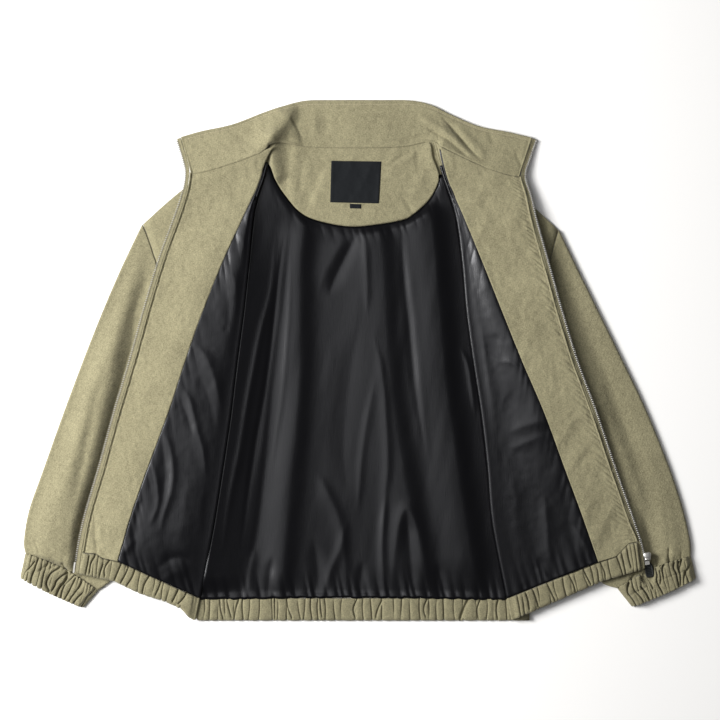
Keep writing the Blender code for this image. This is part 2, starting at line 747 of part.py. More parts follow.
def join(target, others):
    """Boolean unions, applied in order, so that the target is one body."""
    for other in others:
        union = target.modifiers.new(f"With {other.name}", "BOOLEAN")
        union.operation = "UNION"
        union.object = other
        set_aside(other)


def make_slider():
    frame = fastener_frame("slider_frame", "left", SLIDER_SHARE)
    metal = (BRIGHT_METAL, 0.25, 1.0, frame)
    plate_middle = PLATE_INNER + PLATE / 2
    offset = 1.6  # the slider's middle is just outside the one row of teeth in it
    slider = block("zip_slider", (10.6, 11.5, PLATE), (offset, 0, plate_middle), *metal)
    lower = block("slider_lower", (9.4, 10.5, PLATE), (offset, 0, -plate_middle), *metal)
    post = block("slider_post", (2.4, 4.0, 2 * PLATE_INNER + PLATE), (offset + 0.8, 3.6, 0), *metal, bevel=0)
    leg_height = 3.4
    leg_middle = -(PLATE_INNER + PLATE + leg_height / 2 - 0.2)
    legs = [
        block(f"slider_leg_{end}", (2.6, 1.4, leg_height), (offset, place, leg_middle), *metal, bevel=0)
        for end, place in (("upper", 2.6), ("lower", -2.6))
    ]
    bar_middle = leg_middle - leg_height / 2 + 0.5
    bar = block("slider_bar", (2.6, 6.6, 1.0), (offset, 0, bar_middle), *metal, bevel=0)
    join(slider, [post, lower, *legs, bar])
    block("zip_box", (6.2, 5.0, 3.8), (0.2, -BOX_DOWN, 0), BRIGHT_METAL, 0.25, 1.0, frame)
    return frame, offset


def make_pull(frame, offset):
    """The wire link through the slider's bridge, and the tab that hangs on it."""
    axis = add_object("pull_axis", None, frame)
    axis.location = (offset * MM, 0, -HINGE_DROP * MM)
    axis.rotation_euler.x = PULL_TILT
    wire = bpy.data.curves.new("zip_pull_link", "CURVE")
    wire.dimensions = "3D"
    wire.bevel_depth = WIRE * MM
    wire.bevel_resolution = 1
    wire.use_fill_caps = True
    corner = 1.0
    half = LINK_WIDTH / 2
    route = [
        (-half, -corner), (-half + corner, 0), (half - corner, 0), (half, -corner),
        (half, -LINK_LENGTH + corner), (half - corner, -LINK_LENGTH), (-half + corner, -LINK_LENGTH),
        (-half, -LINK_LENGTH + corner),
    ]
    spline = wire.splines.new("POLY")
    spline.points.add(len(route) - 1)
    for point, (x, y) in zip(spline.points, route):
        point.co = (x * MM, y * MM, 0, 1)
    spline.use_cyclic_u = True
    link = add_object("zip_pull_link", wire, axis)
    finish(link, BRIGHT_METAL, 0.3, 1.0)
    length = TAB_END - TAB_START
    middle = -(TAB_START + TAB_END) / 2
    rubber = (PULL_BLACK, 0.5, 0.0, axis)
    tab = block("zip_pull_tab", (TAB_WIDTH, length, TAB_THICKNESS), (0, middle, 0), *rubber, bevel=0.6)
    neck_length = TAB_START - LINK_LENGTH + NECK_WRAP + 1
    neck_middle = -LINK_LENGTH + NECK_WRAP - neck_length / 2
    neck = block("tab_neck", (NECK_WIDTH, neck_length, NECK_THICKNESS), (0, neck_middle, 0), *rubber, bevel=0)
    join(tab, [neck])
    bpy.ops.mesh.primitive_cylinder_add(
        vertices=12,
        radius=(WIRE + LAID_GAP) * MM,
        depth=2 * NECK_WIDTH * MM,
        location=(0, -LINK_LENGTH * MM, 0),
        rotation=(0, math.pi / 2, 0),
    )
    tunnel = bpy.context.object
    tunnel.name = "tab_tunnel"
    tunnel.parent = axis
    set_aside(tunnel)
    cut = tab.modifiers.new("Tunnel for the link", "BOOLEAN")
    cut.operation = "DIFFERENCE"
    cut.object = tunnel


def make_pin():
    """The insertion pin at the foot of the right zip."""
    frame = fastener_frame("pin_frame", "right", 0.02)
    block("zip_pin", (2.6, 15.0, 2.2), (1.4, 0, 0), BRIGHT_METAL, 0.25, 1.0, frame)


def clear_scene():
    for obj in list(bpy.data.objects):
        bpy.data.objects.remove(obj, do_unlink=True)
    for name in ("blouson_jacket", "cutters"):
        bpy.context.scene.collection.children.link(bpy.data.collections.new(name))


def main():
    clear_scene()
    make_back_shell()
    make_neck_facing()
    make_back_lining()
    make_labels()
    make_back_band()
    for side in SIDES:
        make_front(side)
        make_sleeve(side)
        make_cuff(side)
        make_front_band(side)
        make_zip(side)
    make_collar()
    frame, offset = make_slider()
    make_pull(frame, offset)
    make_pin()


main()
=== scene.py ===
"""The looks of a zip-front blouson jacket laid open on its back, with its inside up.

Tables and sizes are in millimetres and repeat the solids' own; meshes are in metres. +X is the wearer's left,
+Y runs up the back to the collar and +Z points up. Each cloth piece is a thin closed shell round a grid of
points on the form of its solid, with its creases added as soft ridges and troughs.
"""

import json
import math
from collections import namedtuple

import bmesh
import bpy
import numpy as np
from mathutils import Matrix, Vector

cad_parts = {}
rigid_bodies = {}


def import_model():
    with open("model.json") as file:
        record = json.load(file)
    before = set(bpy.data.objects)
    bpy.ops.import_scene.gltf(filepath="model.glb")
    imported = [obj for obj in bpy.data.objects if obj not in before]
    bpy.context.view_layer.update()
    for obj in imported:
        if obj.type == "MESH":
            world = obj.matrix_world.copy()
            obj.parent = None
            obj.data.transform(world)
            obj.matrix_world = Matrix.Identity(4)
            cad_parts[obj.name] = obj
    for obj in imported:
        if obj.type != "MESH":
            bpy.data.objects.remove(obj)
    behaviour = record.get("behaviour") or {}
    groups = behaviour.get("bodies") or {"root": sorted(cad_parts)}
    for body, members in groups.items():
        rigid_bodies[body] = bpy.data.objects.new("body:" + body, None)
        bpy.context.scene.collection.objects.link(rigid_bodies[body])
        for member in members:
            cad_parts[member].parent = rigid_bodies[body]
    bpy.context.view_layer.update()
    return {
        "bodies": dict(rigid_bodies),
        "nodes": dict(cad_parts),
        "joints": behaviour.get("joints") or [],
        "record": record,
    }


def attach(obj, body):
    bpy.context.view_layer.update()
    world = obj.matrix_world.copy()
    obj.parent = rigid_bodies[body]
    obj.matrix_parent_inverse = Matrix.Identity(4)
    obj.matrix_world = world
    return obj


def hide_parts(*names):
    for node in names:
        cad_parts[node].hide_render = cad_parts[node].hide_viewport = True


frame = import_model()

MM = 0.001  # in metres
SIDES = ("right", "left")
TOWARDS_MIDDLE = {"right": 1, "left": -1}

# ---------------------------------------------------------------- sizes of the solids

# Thicknesses.
SHELL = 1.5
INNER = 1.0
BAND = 2.6
CUFF = 2.0
LAID_GAP = 0.3  # between a cloth and the one laid on it
BUTT_GAP = 0.5  # between two cloths that meet edge to edge

# Heights of the middle of each layer of cloth.
FLOOR_SHELL = SHELL / 2
BACK_LINING = SHELL + LAID_GAP + INNER / 2
UNDER_LINING = BACK_LINING + INNER + LAID_GAP
SKIN_STEP = SHELL / 2 + LAID_GAP + INNER / 2
UNDER_SHELL = UNDER_LINING + SKIN_STEP
FOLD_RADIUS = 1.6
OVER_SHELL = UNDER_SHELL + 2 * FOLD_RADIUS
SEAM_LEVEL = SHELL + LAID_GAP + SHELL / 2

BACK_BAND_TOP = 3.6
BAND_UNDER = BACK_BAND_TOP + 0.6 + LAID_GAP + BAND / 2
BAND_RADIUS = 1.9
BAND_OVER = BAND_UNDER + 2 * BAND_RADIUS

TEETH_WIDTH = 3.0
TEETH_THICKNESS = 2.4
ZIP_STRIP = 8.5
TAPE_THICKNESS = 1.0
ZIP_RISE = 0.9

FrontRow = namedtuple("FrontRow", "zip facing fold down lift")
FRONT_ROWS = {
    "right": [
        FrontRow((-235, 251), (-124, 290), (-116, 293), 0.00, 0.0),
        FrontRow((-240, 223), (-131, 247), (-124, 252), 0.07, 0.3),
        FrontRow((-252, 188), (-154, 195), (-139, 203), 0.20, 0.8),
        FrontRow((-271, 136), (-181, 136), (-146, 134), 0.42, 1.2),
        FrontRow((-292, 66), (-209, 66), (-153, 66), 0.68, 1.6),
        FrontRow((-310, 1), (-232, 1), (-162, -1), 0.92, 2.0),
        FrontRow((-331, -69), (-255, -69), (-171, -76), 1.14, 2.4),
        FrontRow((-351, -142), (-282, -142), (-182, -150), 1.38, 3.0),
        FrontRow((-370, -207), (-305, -207), (-194, -225), 1.68, 3.6),
        FrontRow((-379, -249), (-323, -269), (-212, -319), 2.00, 4.0),
    ],
    "left": [
        FrontRow((228, 247), (110, 291), (101, 294), 0.00, 0.0),
        FrontRow((236, 220), (121, 245), (113, 251), 0.07, 0.3),
        FrontRow((243, 188), (144, 190), (131, 197), 0.20, 0.8),
        FrontRow((258, 134), (167, 134), (140, 134), 0.42, 1.2),
        FrontRow((277, 66), (194, 66), (146, 66), 0.68, 1.6),
        FrontRow((297, 1), (220, 1), (155, -1), 0.92, 2.0),
        FrontRow((323, -69), (250, -69), (166, -73), 1.14, 2.4),
        FrontRow((348, -142), (277, -142), (174, -142), 1.38, 3.0),
        FrontRow((371, -207), (301, -207), (181, -221), 1.68, 3.6),
        FrontRow((384.5, -248), (323, -270), (200, -319), 2.00, 4.0),
    ],
}
HEM_TOP = -319.5
HEM_BOTTOM = -349.5
BAND_BOTTOM_ROW = {
    "right": FrontRow((-384, -284), (-328, -296), (-218, -349), 2.12, 4.0),
    "left": FrontRow((389.5, -278), (329, -296), (206, -349), 2.12, 4.0),
}
NECKLINE_BOW = 6.0
SHOULDER_BOW = {"right": 12.0, "left": 10.0}

SideSeam = namedtuple("SideSeam", "armhole_top underarm hem bow")
SIDE_SEAMS = {
    "right": SideSeam((-290, 184), (-232, -66), (-231, -319.5), 8.0),
    "left": SideSeam((270, 176), (230, -69), (231, -319.5), 7.0),
}

SleeveRow = namedtuple("SleeveRow", "outer inner bow")
SLEEVE_ROWS = {
    "right": [
        SleeveRow((-316, 131), (-243, -93), 4),
        SleeveRow((-343, 69), (-259, -127), 1),
        SleeveRow((-370, 1), (-277, -161), 0),
        SleeveRow((-398, -74), (-293, -198), 0),
        SleeveRow((-424, -147), (-308, -239), 0),
        SleeveRow((-443, -201), (-320, -271), 1),
        SleeveRow((-450, -242), (-332, -294), 4),
        SleeveRow((-448, -259), (-351, -309), 5),
    ],
    "left": [
        SleeveRow((296, 123), (238, -96), 4),
        SleeveRow((324, 66), (252, -130), 1),
        SleeveRow((354, 5), (270, -163), 0),
        SleeveRow((386, -62), (288, -201), 0),
        SleeveRow((417, -138), (305, -242), 0),
        SleeveRow((437, -198), (319, -275), 1),
        SleeveRow((447, -242), (329, -298), 4),
        SleeveRow((448, -263), (350, -306), 5),
    ],
}
CUFF_EDGE = {
    "right": SleeveRow((-455, -292), (-371, -332), -1.5),
    "left": SleeveRow((455, -293), (370, -331), -1.5),
}

CollarRow = namedtuple("CollarRow", "seam seam_height top top_height")
COLLAR_ROWS = [
    CollarRow((-225, 256.4), OVER_SHELL, (-239, 302), 2.4),
    CollarRow((-199, 260.2), OVER_SHELL, (-211, 310), 2.0),
    CollarRow((-164, 272), OVER_SHELL, (-170, 319), 1.6),
    CollarRow((-128, 291.5), OVER_SHELL - 0.4, (-130, 334), 1.4),
    CollarRow((-104, 297), 5.0, (-100, 344), 1.2),
    CollarRow((-76, 292), FLOOR_SHELL, (-72, 351), FLOOR_SHELL),
    CollarRow((-38, 290), FLOOR_SHELL, (-36, 352), FLOOR_SHELL),
    CollarRow((30, 290), FLOOR_SHELL, (30, 352), FLOOR_SHELL),
    CollarRow((66, 292), FLOOR_SHELL, (70, 351.5), FLOOR_SHELL),
    CollarRow((93, 298), 5.0, (97, 346), 1.2),
    CollarRow((118, 292), OVER_SHELL - 0.4, (124, 333), 1.4),
    CollarRow((158, 272), OVER_SHELL, (162, 317), 1.6),
    CollarRow((193.5, 257.2), OVER_SHELL, (202, 309), 2.0),
    CollarRow((218, 252.6), OVER_SHELL, (235, 301), 2.4),
]
COLLAR_ENDS = {"right": 0, "left": -1}
COLLAR_FALL = 1.3  # above 1 the collar falls away from its seam faster than from its top edge
ZIP_COLLAR_SHARES = (0.36, 0.68, 0.98)

NECK_SEAM = [
    (-121, 291.5), (-104, 295.5), (-76, 290.8), (-38, 288.8),
    (30, 288.8), (66, 290.8), (93, 296.5), (107, 293),
]
BAND_TOP_SHIFT = {
    "right": [(-380, -6), (-364, -4), (-352, 0), (-343, -3), (-330, -1), (-324, 0)],
    "left": [(321, 0), (338, -1), (347, -1.5), (354, 3), (364, 10), (377, 8), (385, 7)],
}
FACING_CURVE = [
    (-145, 262), (-122, 267), (-111, 244), (-99, 225), (-78, 201), (-51, 189),
    (-4, 182), (57, 190), (77, 200), (97, 219), (108, 240), (110, 251), (128, 252),
]
LINING_TOP = [(-145, 262), (128, 262)]
LINING_HEM = [(-214, HEM_TOP - 1.2), (208, HEM_TOP - 1.2)]
LABEL_CORNERS = [(-37.5, 214), (28, 212.5), (31.5, 269), (-36, 270)]
LABEL = 0.6
TAB_CORNERS = [(-11, 206), (4, 205.5), (4, 211.5), (-11, 212)]

# ---------------------------------------------------------------- creases

# Each row is a ridge, or a trough where its rise is negative: its rise, how wide it is west and east of its
# route, and the route. A route runs down the jacket, or across it from west to east, and then
# west is its lower side and east its upper side.

BACK_LINING_DRAPE = [
    (3.2, 24, 15, [(-70, 206), (-78, 143), (-80, 42), (-82, -59), (-92, -161), (-101, -262), (-106, -330)]),
    (3.2, 44, 17, [(24, 190), (31, 143), (36, 42), (46, -59), (62, -161), (78, -240), (92, -330)]),
    (4.6, 42, 16, [(90, 214), (99, 177), (108, 76), (117, -26), (131, -127), (146, -228), (163, -330)]),
]
BACK_LINING_FOLDS = [
    (-1, 4, 7, [(-96, 190), (-108, 110), (-117, 28), (-126, -39), (-138, -107), (-150, -188), (-160, -269)]),
    (0.9, 5, 6, [(-109, 188), (-117, 96), (-130, 42), (-148, -53), (-159, -120), (-173, -188), (-184, -269)]),
    (0.35, 5, 4, [(-90, 174), (-92, 82), (-96, 20), (-102, -46), (-110, -100), (-120, -170)]),
    (-1.2, 7, 10, [(3, 180), (-12, 150), (-29, 116), (-40, 88)]),
    (0.6, 14, 9, [(-14, 180), (-28, 150), (-44, 120), (-54, 88)]),
    (-0.8, 6, 7, [(58, 186), (62, 120), (70, 40), (78, -40), (92, -130)]),
    (0.3, 6, 6, [(66, 176), (69, 120), (76, 60), (82, -10), (90, -90), (102, -170)]),
    (0.7, 7, 6, [(19, 42), (32, -12), (38, -80), (40, -140), (36, -188), (28, -309)]),
    (-0.6, 14, 12, [(2, 56), (-8, 0), (-16, -60), (-20, -120), (-12, -190)]),
    (0.5, 5, 6, [(24, -20), (12, -80), (4, -140), (0, -210)]),
    (0.5, 5, 5, [(8, 176), (12, 120), (12, 60)]),
    (0.9, 8, 9, [(46, -316), (50, -255), (60, -205), (72, -205), (84, -240), (98, -316)]),
    (-1.2, 9, 10, [(64, -204), (70, -252), (74, -330)]),
    (0.9, 10, 8, [(-56, -150), (-38, -184), (-22, -228), (-12, -330)]),
    (-0.9, 9, 8, [(-60, -240), (-54, -290), (-60, -330)]),
    (0.7, 7, 6, [(-50, -330), (-38, -286), (-24, -252), (-14, -210)]),
    (0.8, 6, 5, [(38, -330), (33, -270), (34, -220), (38, -180)]),
    (0.9, 7, 6, [(-150, -330), (-146, -290), (-138, -250)]),
    (-1.0, 6, 7, [(-122, -330), (-120, -296), (-114, -262)]),
    (-0.9, 6, 6, [(8, -330), (4, -300), (6, -270)]),
    (-1.0, 6, 6, [(118, -330), (112, -300), (106, -270)]),
    (0.7, 4, 4, [(138, 18), (148, -4), (154, -40), (158, -74)]),
]
FRONT_LINING_FOLDS = {
    "right": [
        (0.9, 13, 9, [(-178, 140), (-166, 108), (-160, 82), (-160, 50), (-165, 10)]),
        (-0.9, 10, 9, [(-187, 120), (-179, 96), (-174, 66), (-178, 30)]),
        (0.35, 5, 6, [(-168, 176), (-155, 162), (-150, 142), (-152, 118)]),
        (1.3, 12, 10, [(-222, 24), (-206, 8), (-192, -26), (-180, -74), (-178, -110)]),
        (-0.7, 9, 10, [(-214, -16), (-200, -50), (-190, -98)]),
        (1.1, 8, 6, [(-242, -28), (-227, -50), (-217, -88), (-207, -126), (-204, -160)]),
        (-0.8, 5, 6, [(-240, -46), (-230, -72), (-221, -104)]),
        (1, 6, 6, [(-264, -92), (-252, -118), (-249, -165), (-262, -210), (-266, -232)]),
        (-0.7, 6, 6, [(-262, -116), (-259, -150), (-262, -190)]),
        (0.9, 5, 5, [(-280, -118), (-271, -156), (-269, -194), (-282, -224)]),
        (-1.1, 9, 6, [(-290, -184), (-298, -214), (-299, -262)]),
        (-1.1, 6, 6, [(-270, -280), (-256, -268), (-241, -264), (-226, -270), (-214, -284)]),
        (0.9, 12, 12, [(-262, -298), (-246, -284), (-228, -286)]),
        (0.7, 18, 18, [(-228, -150), (-232, -200), (-240, -244)]),
        (0.6, 6, 6, [(-206, -160), (-210, -214), (-212, -262)]),
        (0.9, 9, 5, [(-296, -236), (-310, -252), (-318, -262)]),
    ],
    "left": [
        (1.1, 8, 6, [(140, 40), (148, 0), (160, -50), (168, -90)]),
        (0.9, 4, 4, [(138, -44), (151, -72), (164, -102)]),
        (0.8, 4, 4, [(146, -45), (159, -71), (168, -94)]),
        (1.2, 12, 9, [(166, 60), (170, 15), (178, -62), (174, -107), (183, -194), (196, -309)]),
        (0.7, 5, 4, [(176, 10), (190, 0), (205, -1), (223, -16)]),
        (-1.1, 13, 13, [(184, 40), (192, 14), (212, 10)]),
        (-0.9, 16, 16, [(196, -50), (214, -56), (236, -58)]),
        (1.1, 12, 10, [(200, -98), (220, -88), (240, -82), (258, -84)]),
        (0.7, 8, 8, [(202, -118), (224, -110), (254, -98)]),
        (1, 9, 8, [(250, -178), (254, -214), (256, -250), (262, -290)]),
        (-1.2, 16, 13, [(272, -150), (278, -190), (286, -230), (296, -262)]),
        (0.7, 5, 5, [(288, -218), (301, -240), (314, -258)]),
        (-0.7, 5, 5, [(244, -262), (252, -280), (262, -294)]),
        (0.3, 13, 13, [(152, 160), (160, 115), (168, 80)]),
        (0.6, 16, 13, [(208, -150), (212, -200), (216, -260)]),
    ],
}
FACING_FOLDS = {
    "right": [
        (-0.7, 12, 8, [(-172, 166), (-181, 130), (-196, 92), (-212, 60)]),
        (0.8, 14, 12, [(-186, 196), (-206, 130), (-232, 60), (-252, -10)]),
        (-0.4, 16, 14, [(-240, 20), (-268, -40), (-290, -120)]),
        (0.5, 12, 12, [(-150, 246), (-176, 206), (-196, 160)]),
        (-0.5, 9, 8, [(-146, 262), (-160, 236), (-168, 214)]),
        (-1.6, 2, 2.5, [(-357, -190), (-354, -215), (-353, -240), (-351, -254), (-352, -262)]),
        (-1.6, 2.2, 2, [(-352, -236), (-345, -253), (-333, -264)]),
        (0.8, 8, 8, [(-346, -200), (-344, -225), (-338, -244)]),
    ],
    "left": [
        (-0.8, 9, 8, [(150, 258), (165, 231), (178, 206), (194, 182), (218, 150), (238, 122)]),
        (0.8, 12, 10, [(136, 240), (152, 206), (176, 160), (196, 120)]),
        (-0.5, 7, 6, [(212, 200), (226, 160), (236, 120)]),
        (-0.7, 5, 6, [(316, -110), (308, -124), (300, -140)]),
        (0.7, 6, 6, [(326, -120), (318, -140), (306, -160)]),
        (-0.8, 3, 4, [(335, -243), (343, -233), (352, -223)]),
        (-0.6, 4, 3, [(318, -222), (328, -219), (338, -220)]),
        (0.6, 10, 9, [(268, 20), (286, -20), (300, -60)]),
        (-0.5, 9, 8, [(252, 40), (268, 4), (280, -30)]),
        (-0.5, 8, 8, [(292, -60), (298, -80), (296, -100)]),
    ],
}
COLLAR_FOLDS = [
    (7.0, 11, 21, [(-138, 284), (-127, 293), (-116, 304), (-105, 316), (-96, 327), (-90, 338), (-86, 350)]),
    (-1.6, 4, 3, [(-122, 296), (-112, 298), (-100, 298), (-88, 296), (-76, 291)]),
    (-1.2, 1.6, 6, [(-92, 336), (-88, 324), (-82, 314), (-78, 303), (-77, 290)]),
    (0.8, 6, 6, [(-58, 346), (-60, 322), (-56, 300)]),
    (-0.7, 5, 5, [(-46, 340), (-44, 320), (-48, 300)]),
    (-0.5, 6, 6, [(-186, 314), (-164, 306), (-146, 288)]),
    (0.6, 8, 8, [(-206, 300), (-180, 298), (-150, 306)]),
    (-0.6, 5, 5, [(-150, 318), (-132, 312), (-114, 316)]),
    (-1.5, 2.4, 3.2, [(108, 334), (120, 322), (131, 309), (142, 296), (158, 278), (170, 266)]),
    (2.2, 5.5, 6, [(80, 332), (96, 322), (112, 312), (126, 301), (140, 288), (156, 273)]),
    (-1.8, 3.4, 2.4, [(76, 322), (96, 313), (111, 305), (124, 297), (136, 286), (146, 277), (154, 270)]),
    (1.2, 5, 6, [(126, 328), (142, 308), (158, 290), (176, 272)]),
    (-1.4, 6, 4, [(50, 298), (70, 299), (90, 303), (104, 303)]),
    (-0.8, 3, 4, [(176, 311), (180, 300), (184, 291)]),
    (-0.9, 3, 4, [(212, 287), (216, 272), (220, 259)]),
    (0.5, 12, 10, [(-20, 340), (-8, 320), (-2, 300)]),
    (0.5, 10, 12, [(44, 338), (38, 318), (40, 300)]),
    (-0.6, 4, 4, [(-40, 346), (-10, 344), (16, 342)]),
    (-0.5, 4, 4, [(20, 336), (34, 334), (48, 337)]),
]
NECK_FACING_FOLDS = [
    (6.5, 5, 14, [(-118, 310), (-117, 288), (-114, 262), (-108, 236)]),
    (1.7, 5.5, 13, [(-83, 304), (-85, 276), (-88, 250), (-88, 226), (-84, 210)]),
    (-1.3, 11, 4, [(-45, 266), (-52, 250), (-58, 237), (-64, 220), (-69, 203)]),
    (0.9, 4, 10, [(-38, 262), (-47, 244), (-54, 226), (-60, 206)]),
    (-1.1, 2.2, 2.2, [(-54, 277), (-47, 269), (-40, 260)]),
    (-0.8, 3, 3, [(-74, 262), (-78, 244), (-76, 226)]),
    (0.5, 8, 8, [(-62, 276), (-66, 246), (-58, 214)]),
    (-0.5, 5, 5, [(-74, 286), (-64, 276), (-50, 284)]),
    (-0.4, 6, 6, [(-52, 250), (-50, 226), (-44, 204)]),
    (0.5, 8, 8, [(52, 276), (48, 250), (54, 214)]),
    (3.0, 11, 1.6, [(96, 300), (98, 286), (100, 274), (104, 264), (108, 252), (109, 240)]),
    (-1.3, 2, 2, [(62, 222), (66, 212), (72, 203), (75, 196)]),
    (-1.4, 2, 2, [(72, 290), (69, 280), (60, 276), (48, 268), (40, 260)]),
    (0.9, 4, 4, [(78, 284), (66, 272), (52, 264)]),
    (-0.8, 3, 3, [(84, 280), (80, 266), (86, 250)]),
    (0.8, 8, 6, [(90, 262), (84, 240), (70, 218)]),
    (-0.5, 4, 4, [(84, 256), (74, 250), (64, 242)]),
    (-0.5, 4, 4, [(14, 208), (10, 198), (-2, 190)]),
]
SLEEVE_FOLDS = {
    "right": [
        (-2.2, 17, 15, [(-286, 170), (-298, 92), (-314, 26), (-326, -30), (-338, -90)]),
        (-2.6, 8, 12, [(-330, 20), (-342, -15), (-355, -66), (-366, -122), (-377, -174), (-386, -234)]),
        (1.3, 12, 9, [(-352, 0), (-368, -66), (-384, -130), (-394, -190), (-404, -244)]),
        (-1.1, 7, 8, [(-289, 180), (-292, 150), (-300, 118)]),
        (-1.8, 8, 10, [(-370, -200), (-382, -240), (-390, -268)]),
        (-0.9, 3, 3, [(-443, -218), (-437, -238), (-432, -256)]),
        (0.7, 22, 20, [(-352, 46), (-388, -50), (-414, -140)]),
        (-0.5, 10, 10, [(-330, 90), (-366, 0), (-392, -80)]),
    ],
    "left": [
        (-2.8, 14, 16, [(266, 158), (284, 92), (304, 20), (322, -46)]),
        (-2.2, 12, 10, [(312, -20), (330, -80), (352, -140), (376, -200), (397, -262)]),
        (1.4, 9, 12, [(332, -60), (352, -106), (372, -156), (388, -200), (400, -236)]),
        (-1.1, 4, 5, [(412, -186), (417, -214), (420, -244), (421, -268)]),
        (0.9, 18, 16, [(300, 96), (334, 20), (366, -60)]),
        (-0.5, 10, 10, [(352, 0), (384, -74), (408, -140)]),
        (-0.8, 4, 4, [(436, -230), (438, -246), (436, -258)]),
        (-1.0, 8, 6, [(266, 164), (258, 148), (254, 130)]),
    ],
}
CUFF_FOLDS = {
    "right": [
        (-5.0, 1.5, 1.2, [(-429, -264), (-433, -274), (-435, -281), (-438, -288), (-441, -299)]),
        (-3.0, 1.4, 1.2, [(-434, -269), (-442, -279), (-448, -285), (-451, -294)]),
        (-5.0, 1.6, 1.4, [(-400, -279), (-412, -285), (-418, -295), (-419, -302), (-414, -312)]),
        (-5.5, 1.7, 1.4, [(-392, -286), (-400, -291), (-406, -297), (-408, -303), (-414, -312)]),
        (-6.0, 2.2, 1.6, [(-391, -284), (-393, -295), (-401, -305), (-407, -318)]),
        (-5.0, 1.6, 1.2, [(-394, -301), (-398, -310), (-400, -321)]),
        (-3.5, 1.3, 1.2, [(-381, -289), (-392, -299), (-398, -306)]),
        (-4.0, 1.5, 1.2, [(-379, -291), (-385, -303), (-390, -313), (-397, -324)]),
        (-4.0, 1.5, 1.2, [(-371, -296), (-377, -307), (-386, -319), (-390, -326)]),
        (-5.0, 1.6, 1.2, [(-370, -312), (-378, -320), (-385, -329)]),
        (-5.0, 1.5, 1.3, [(-353, -307), (-364, -317), (-369, -325), (-375, -333)]),
        (1.6, 7, 6, [(-423, -284), (-428, -293), (-428, -303)]),
    ],
    "left": [
        (-4.5, 1.4, 1.6, [(366, -298), (363, -307), (364, -313)]),
        (-5.0, 1.3, 1.6, [(363, -312), (370, -321), (377, -332)]),
        (-3.5, 1.3, 1.4, [(369, -296), (372, -308), (381, -318), (386, -326)]),
        (-5.5, 1.4, 1.8, [(380, -303), (387, -311), (393, -322)]),
        (-4.5, 1.4, 1.5, [(372, -293), (379, -288), (382, -292), (384, -298)]),
        (-4.5, 1.4, 1.5, [(389, -292), (394, -299), (398, -308)]),
        (-5.0, 1.3, 1.6, [(401, -279), (403, -289), (403, -298), (412, -315)]),
        (-3.0, 1.3, 1.4, [(406, -281), (408, -294), (407, -302)]),
        (-4.5, 1.3, 1.6, [(414, -274), (410, -280), (412, -294)]),
        (-5.0, 1.4, 1.6, [(427, -270), (425, -278), (429, -287), (431, -297), (433, -306)]),
        (-5.0, 1.4, 1.6, [(432, -269), (431, -278), (434, -287), (435, -304)]),
        (-4.5, 1.4, 1.5, [(437, -264), (436, -270), (432, -283)]),
        (-3.5, 1.3, 1.5, [(448, -272), (444, -280), (442, -287), (446, -299)]),
        (-3.0, 1.3, 1.4, [(441, -281), (439, -294), (439, -302)]),
    ],
}
CUFF_GATHERS = {  # creases that run from a sleeve into its cuff
    "right": [
        (-3.2, 2.2, 2.0, [(-411, -271), (-421, -277), (-431, -284)]),
        (-2.2, 2.0, 2.0, [(-405, -274), (-414, -279), (-424, -283)]),
        (-3.8, 2.0, 2.0, [(-399, -270), (-394, -280), (-390, -290)]),
        (-3.2, 1.8, 1.8, [(-443, -240), (-438, -254), (-434, -266)]),
        (-2.4, 1.6, 1.6, [(-436, -238), (-432, -250), (-429, -262)]),
        (1.6, 5, 5, [(-438, -246), (-430, -262), (-420, -270)]),
        (-2.0, 2.0, 2.0, [(-384, -282), (-388, -290), (-396, -298)]),
        (-2.4, 1.8, 2.0, [(-368, -294), (-372, -302), (-378, -309)]),
    ],
    "left": [
        (-3.0, 2.0, 2.0, [(376, -284), (370, -292), (364, -300)]),
        (-2.4, 2.0, 2.0, [(400, -262), (404, -272), (402, -284)]),
        (-3.2, 1.8, 1.8, [(436, -256), (436, -264), (434, -276)]),
        (-2.6, 2.0, 2.0, [(420, -250), (419, -262), (421, -274)]),
        (1.4, 5, 5, [(404, -256), (412, -266), (414, -274)]),
        (-2.0, 2.0, 2.0, [(446, -254), (447, -264), (445, -274)]),
    ],
}
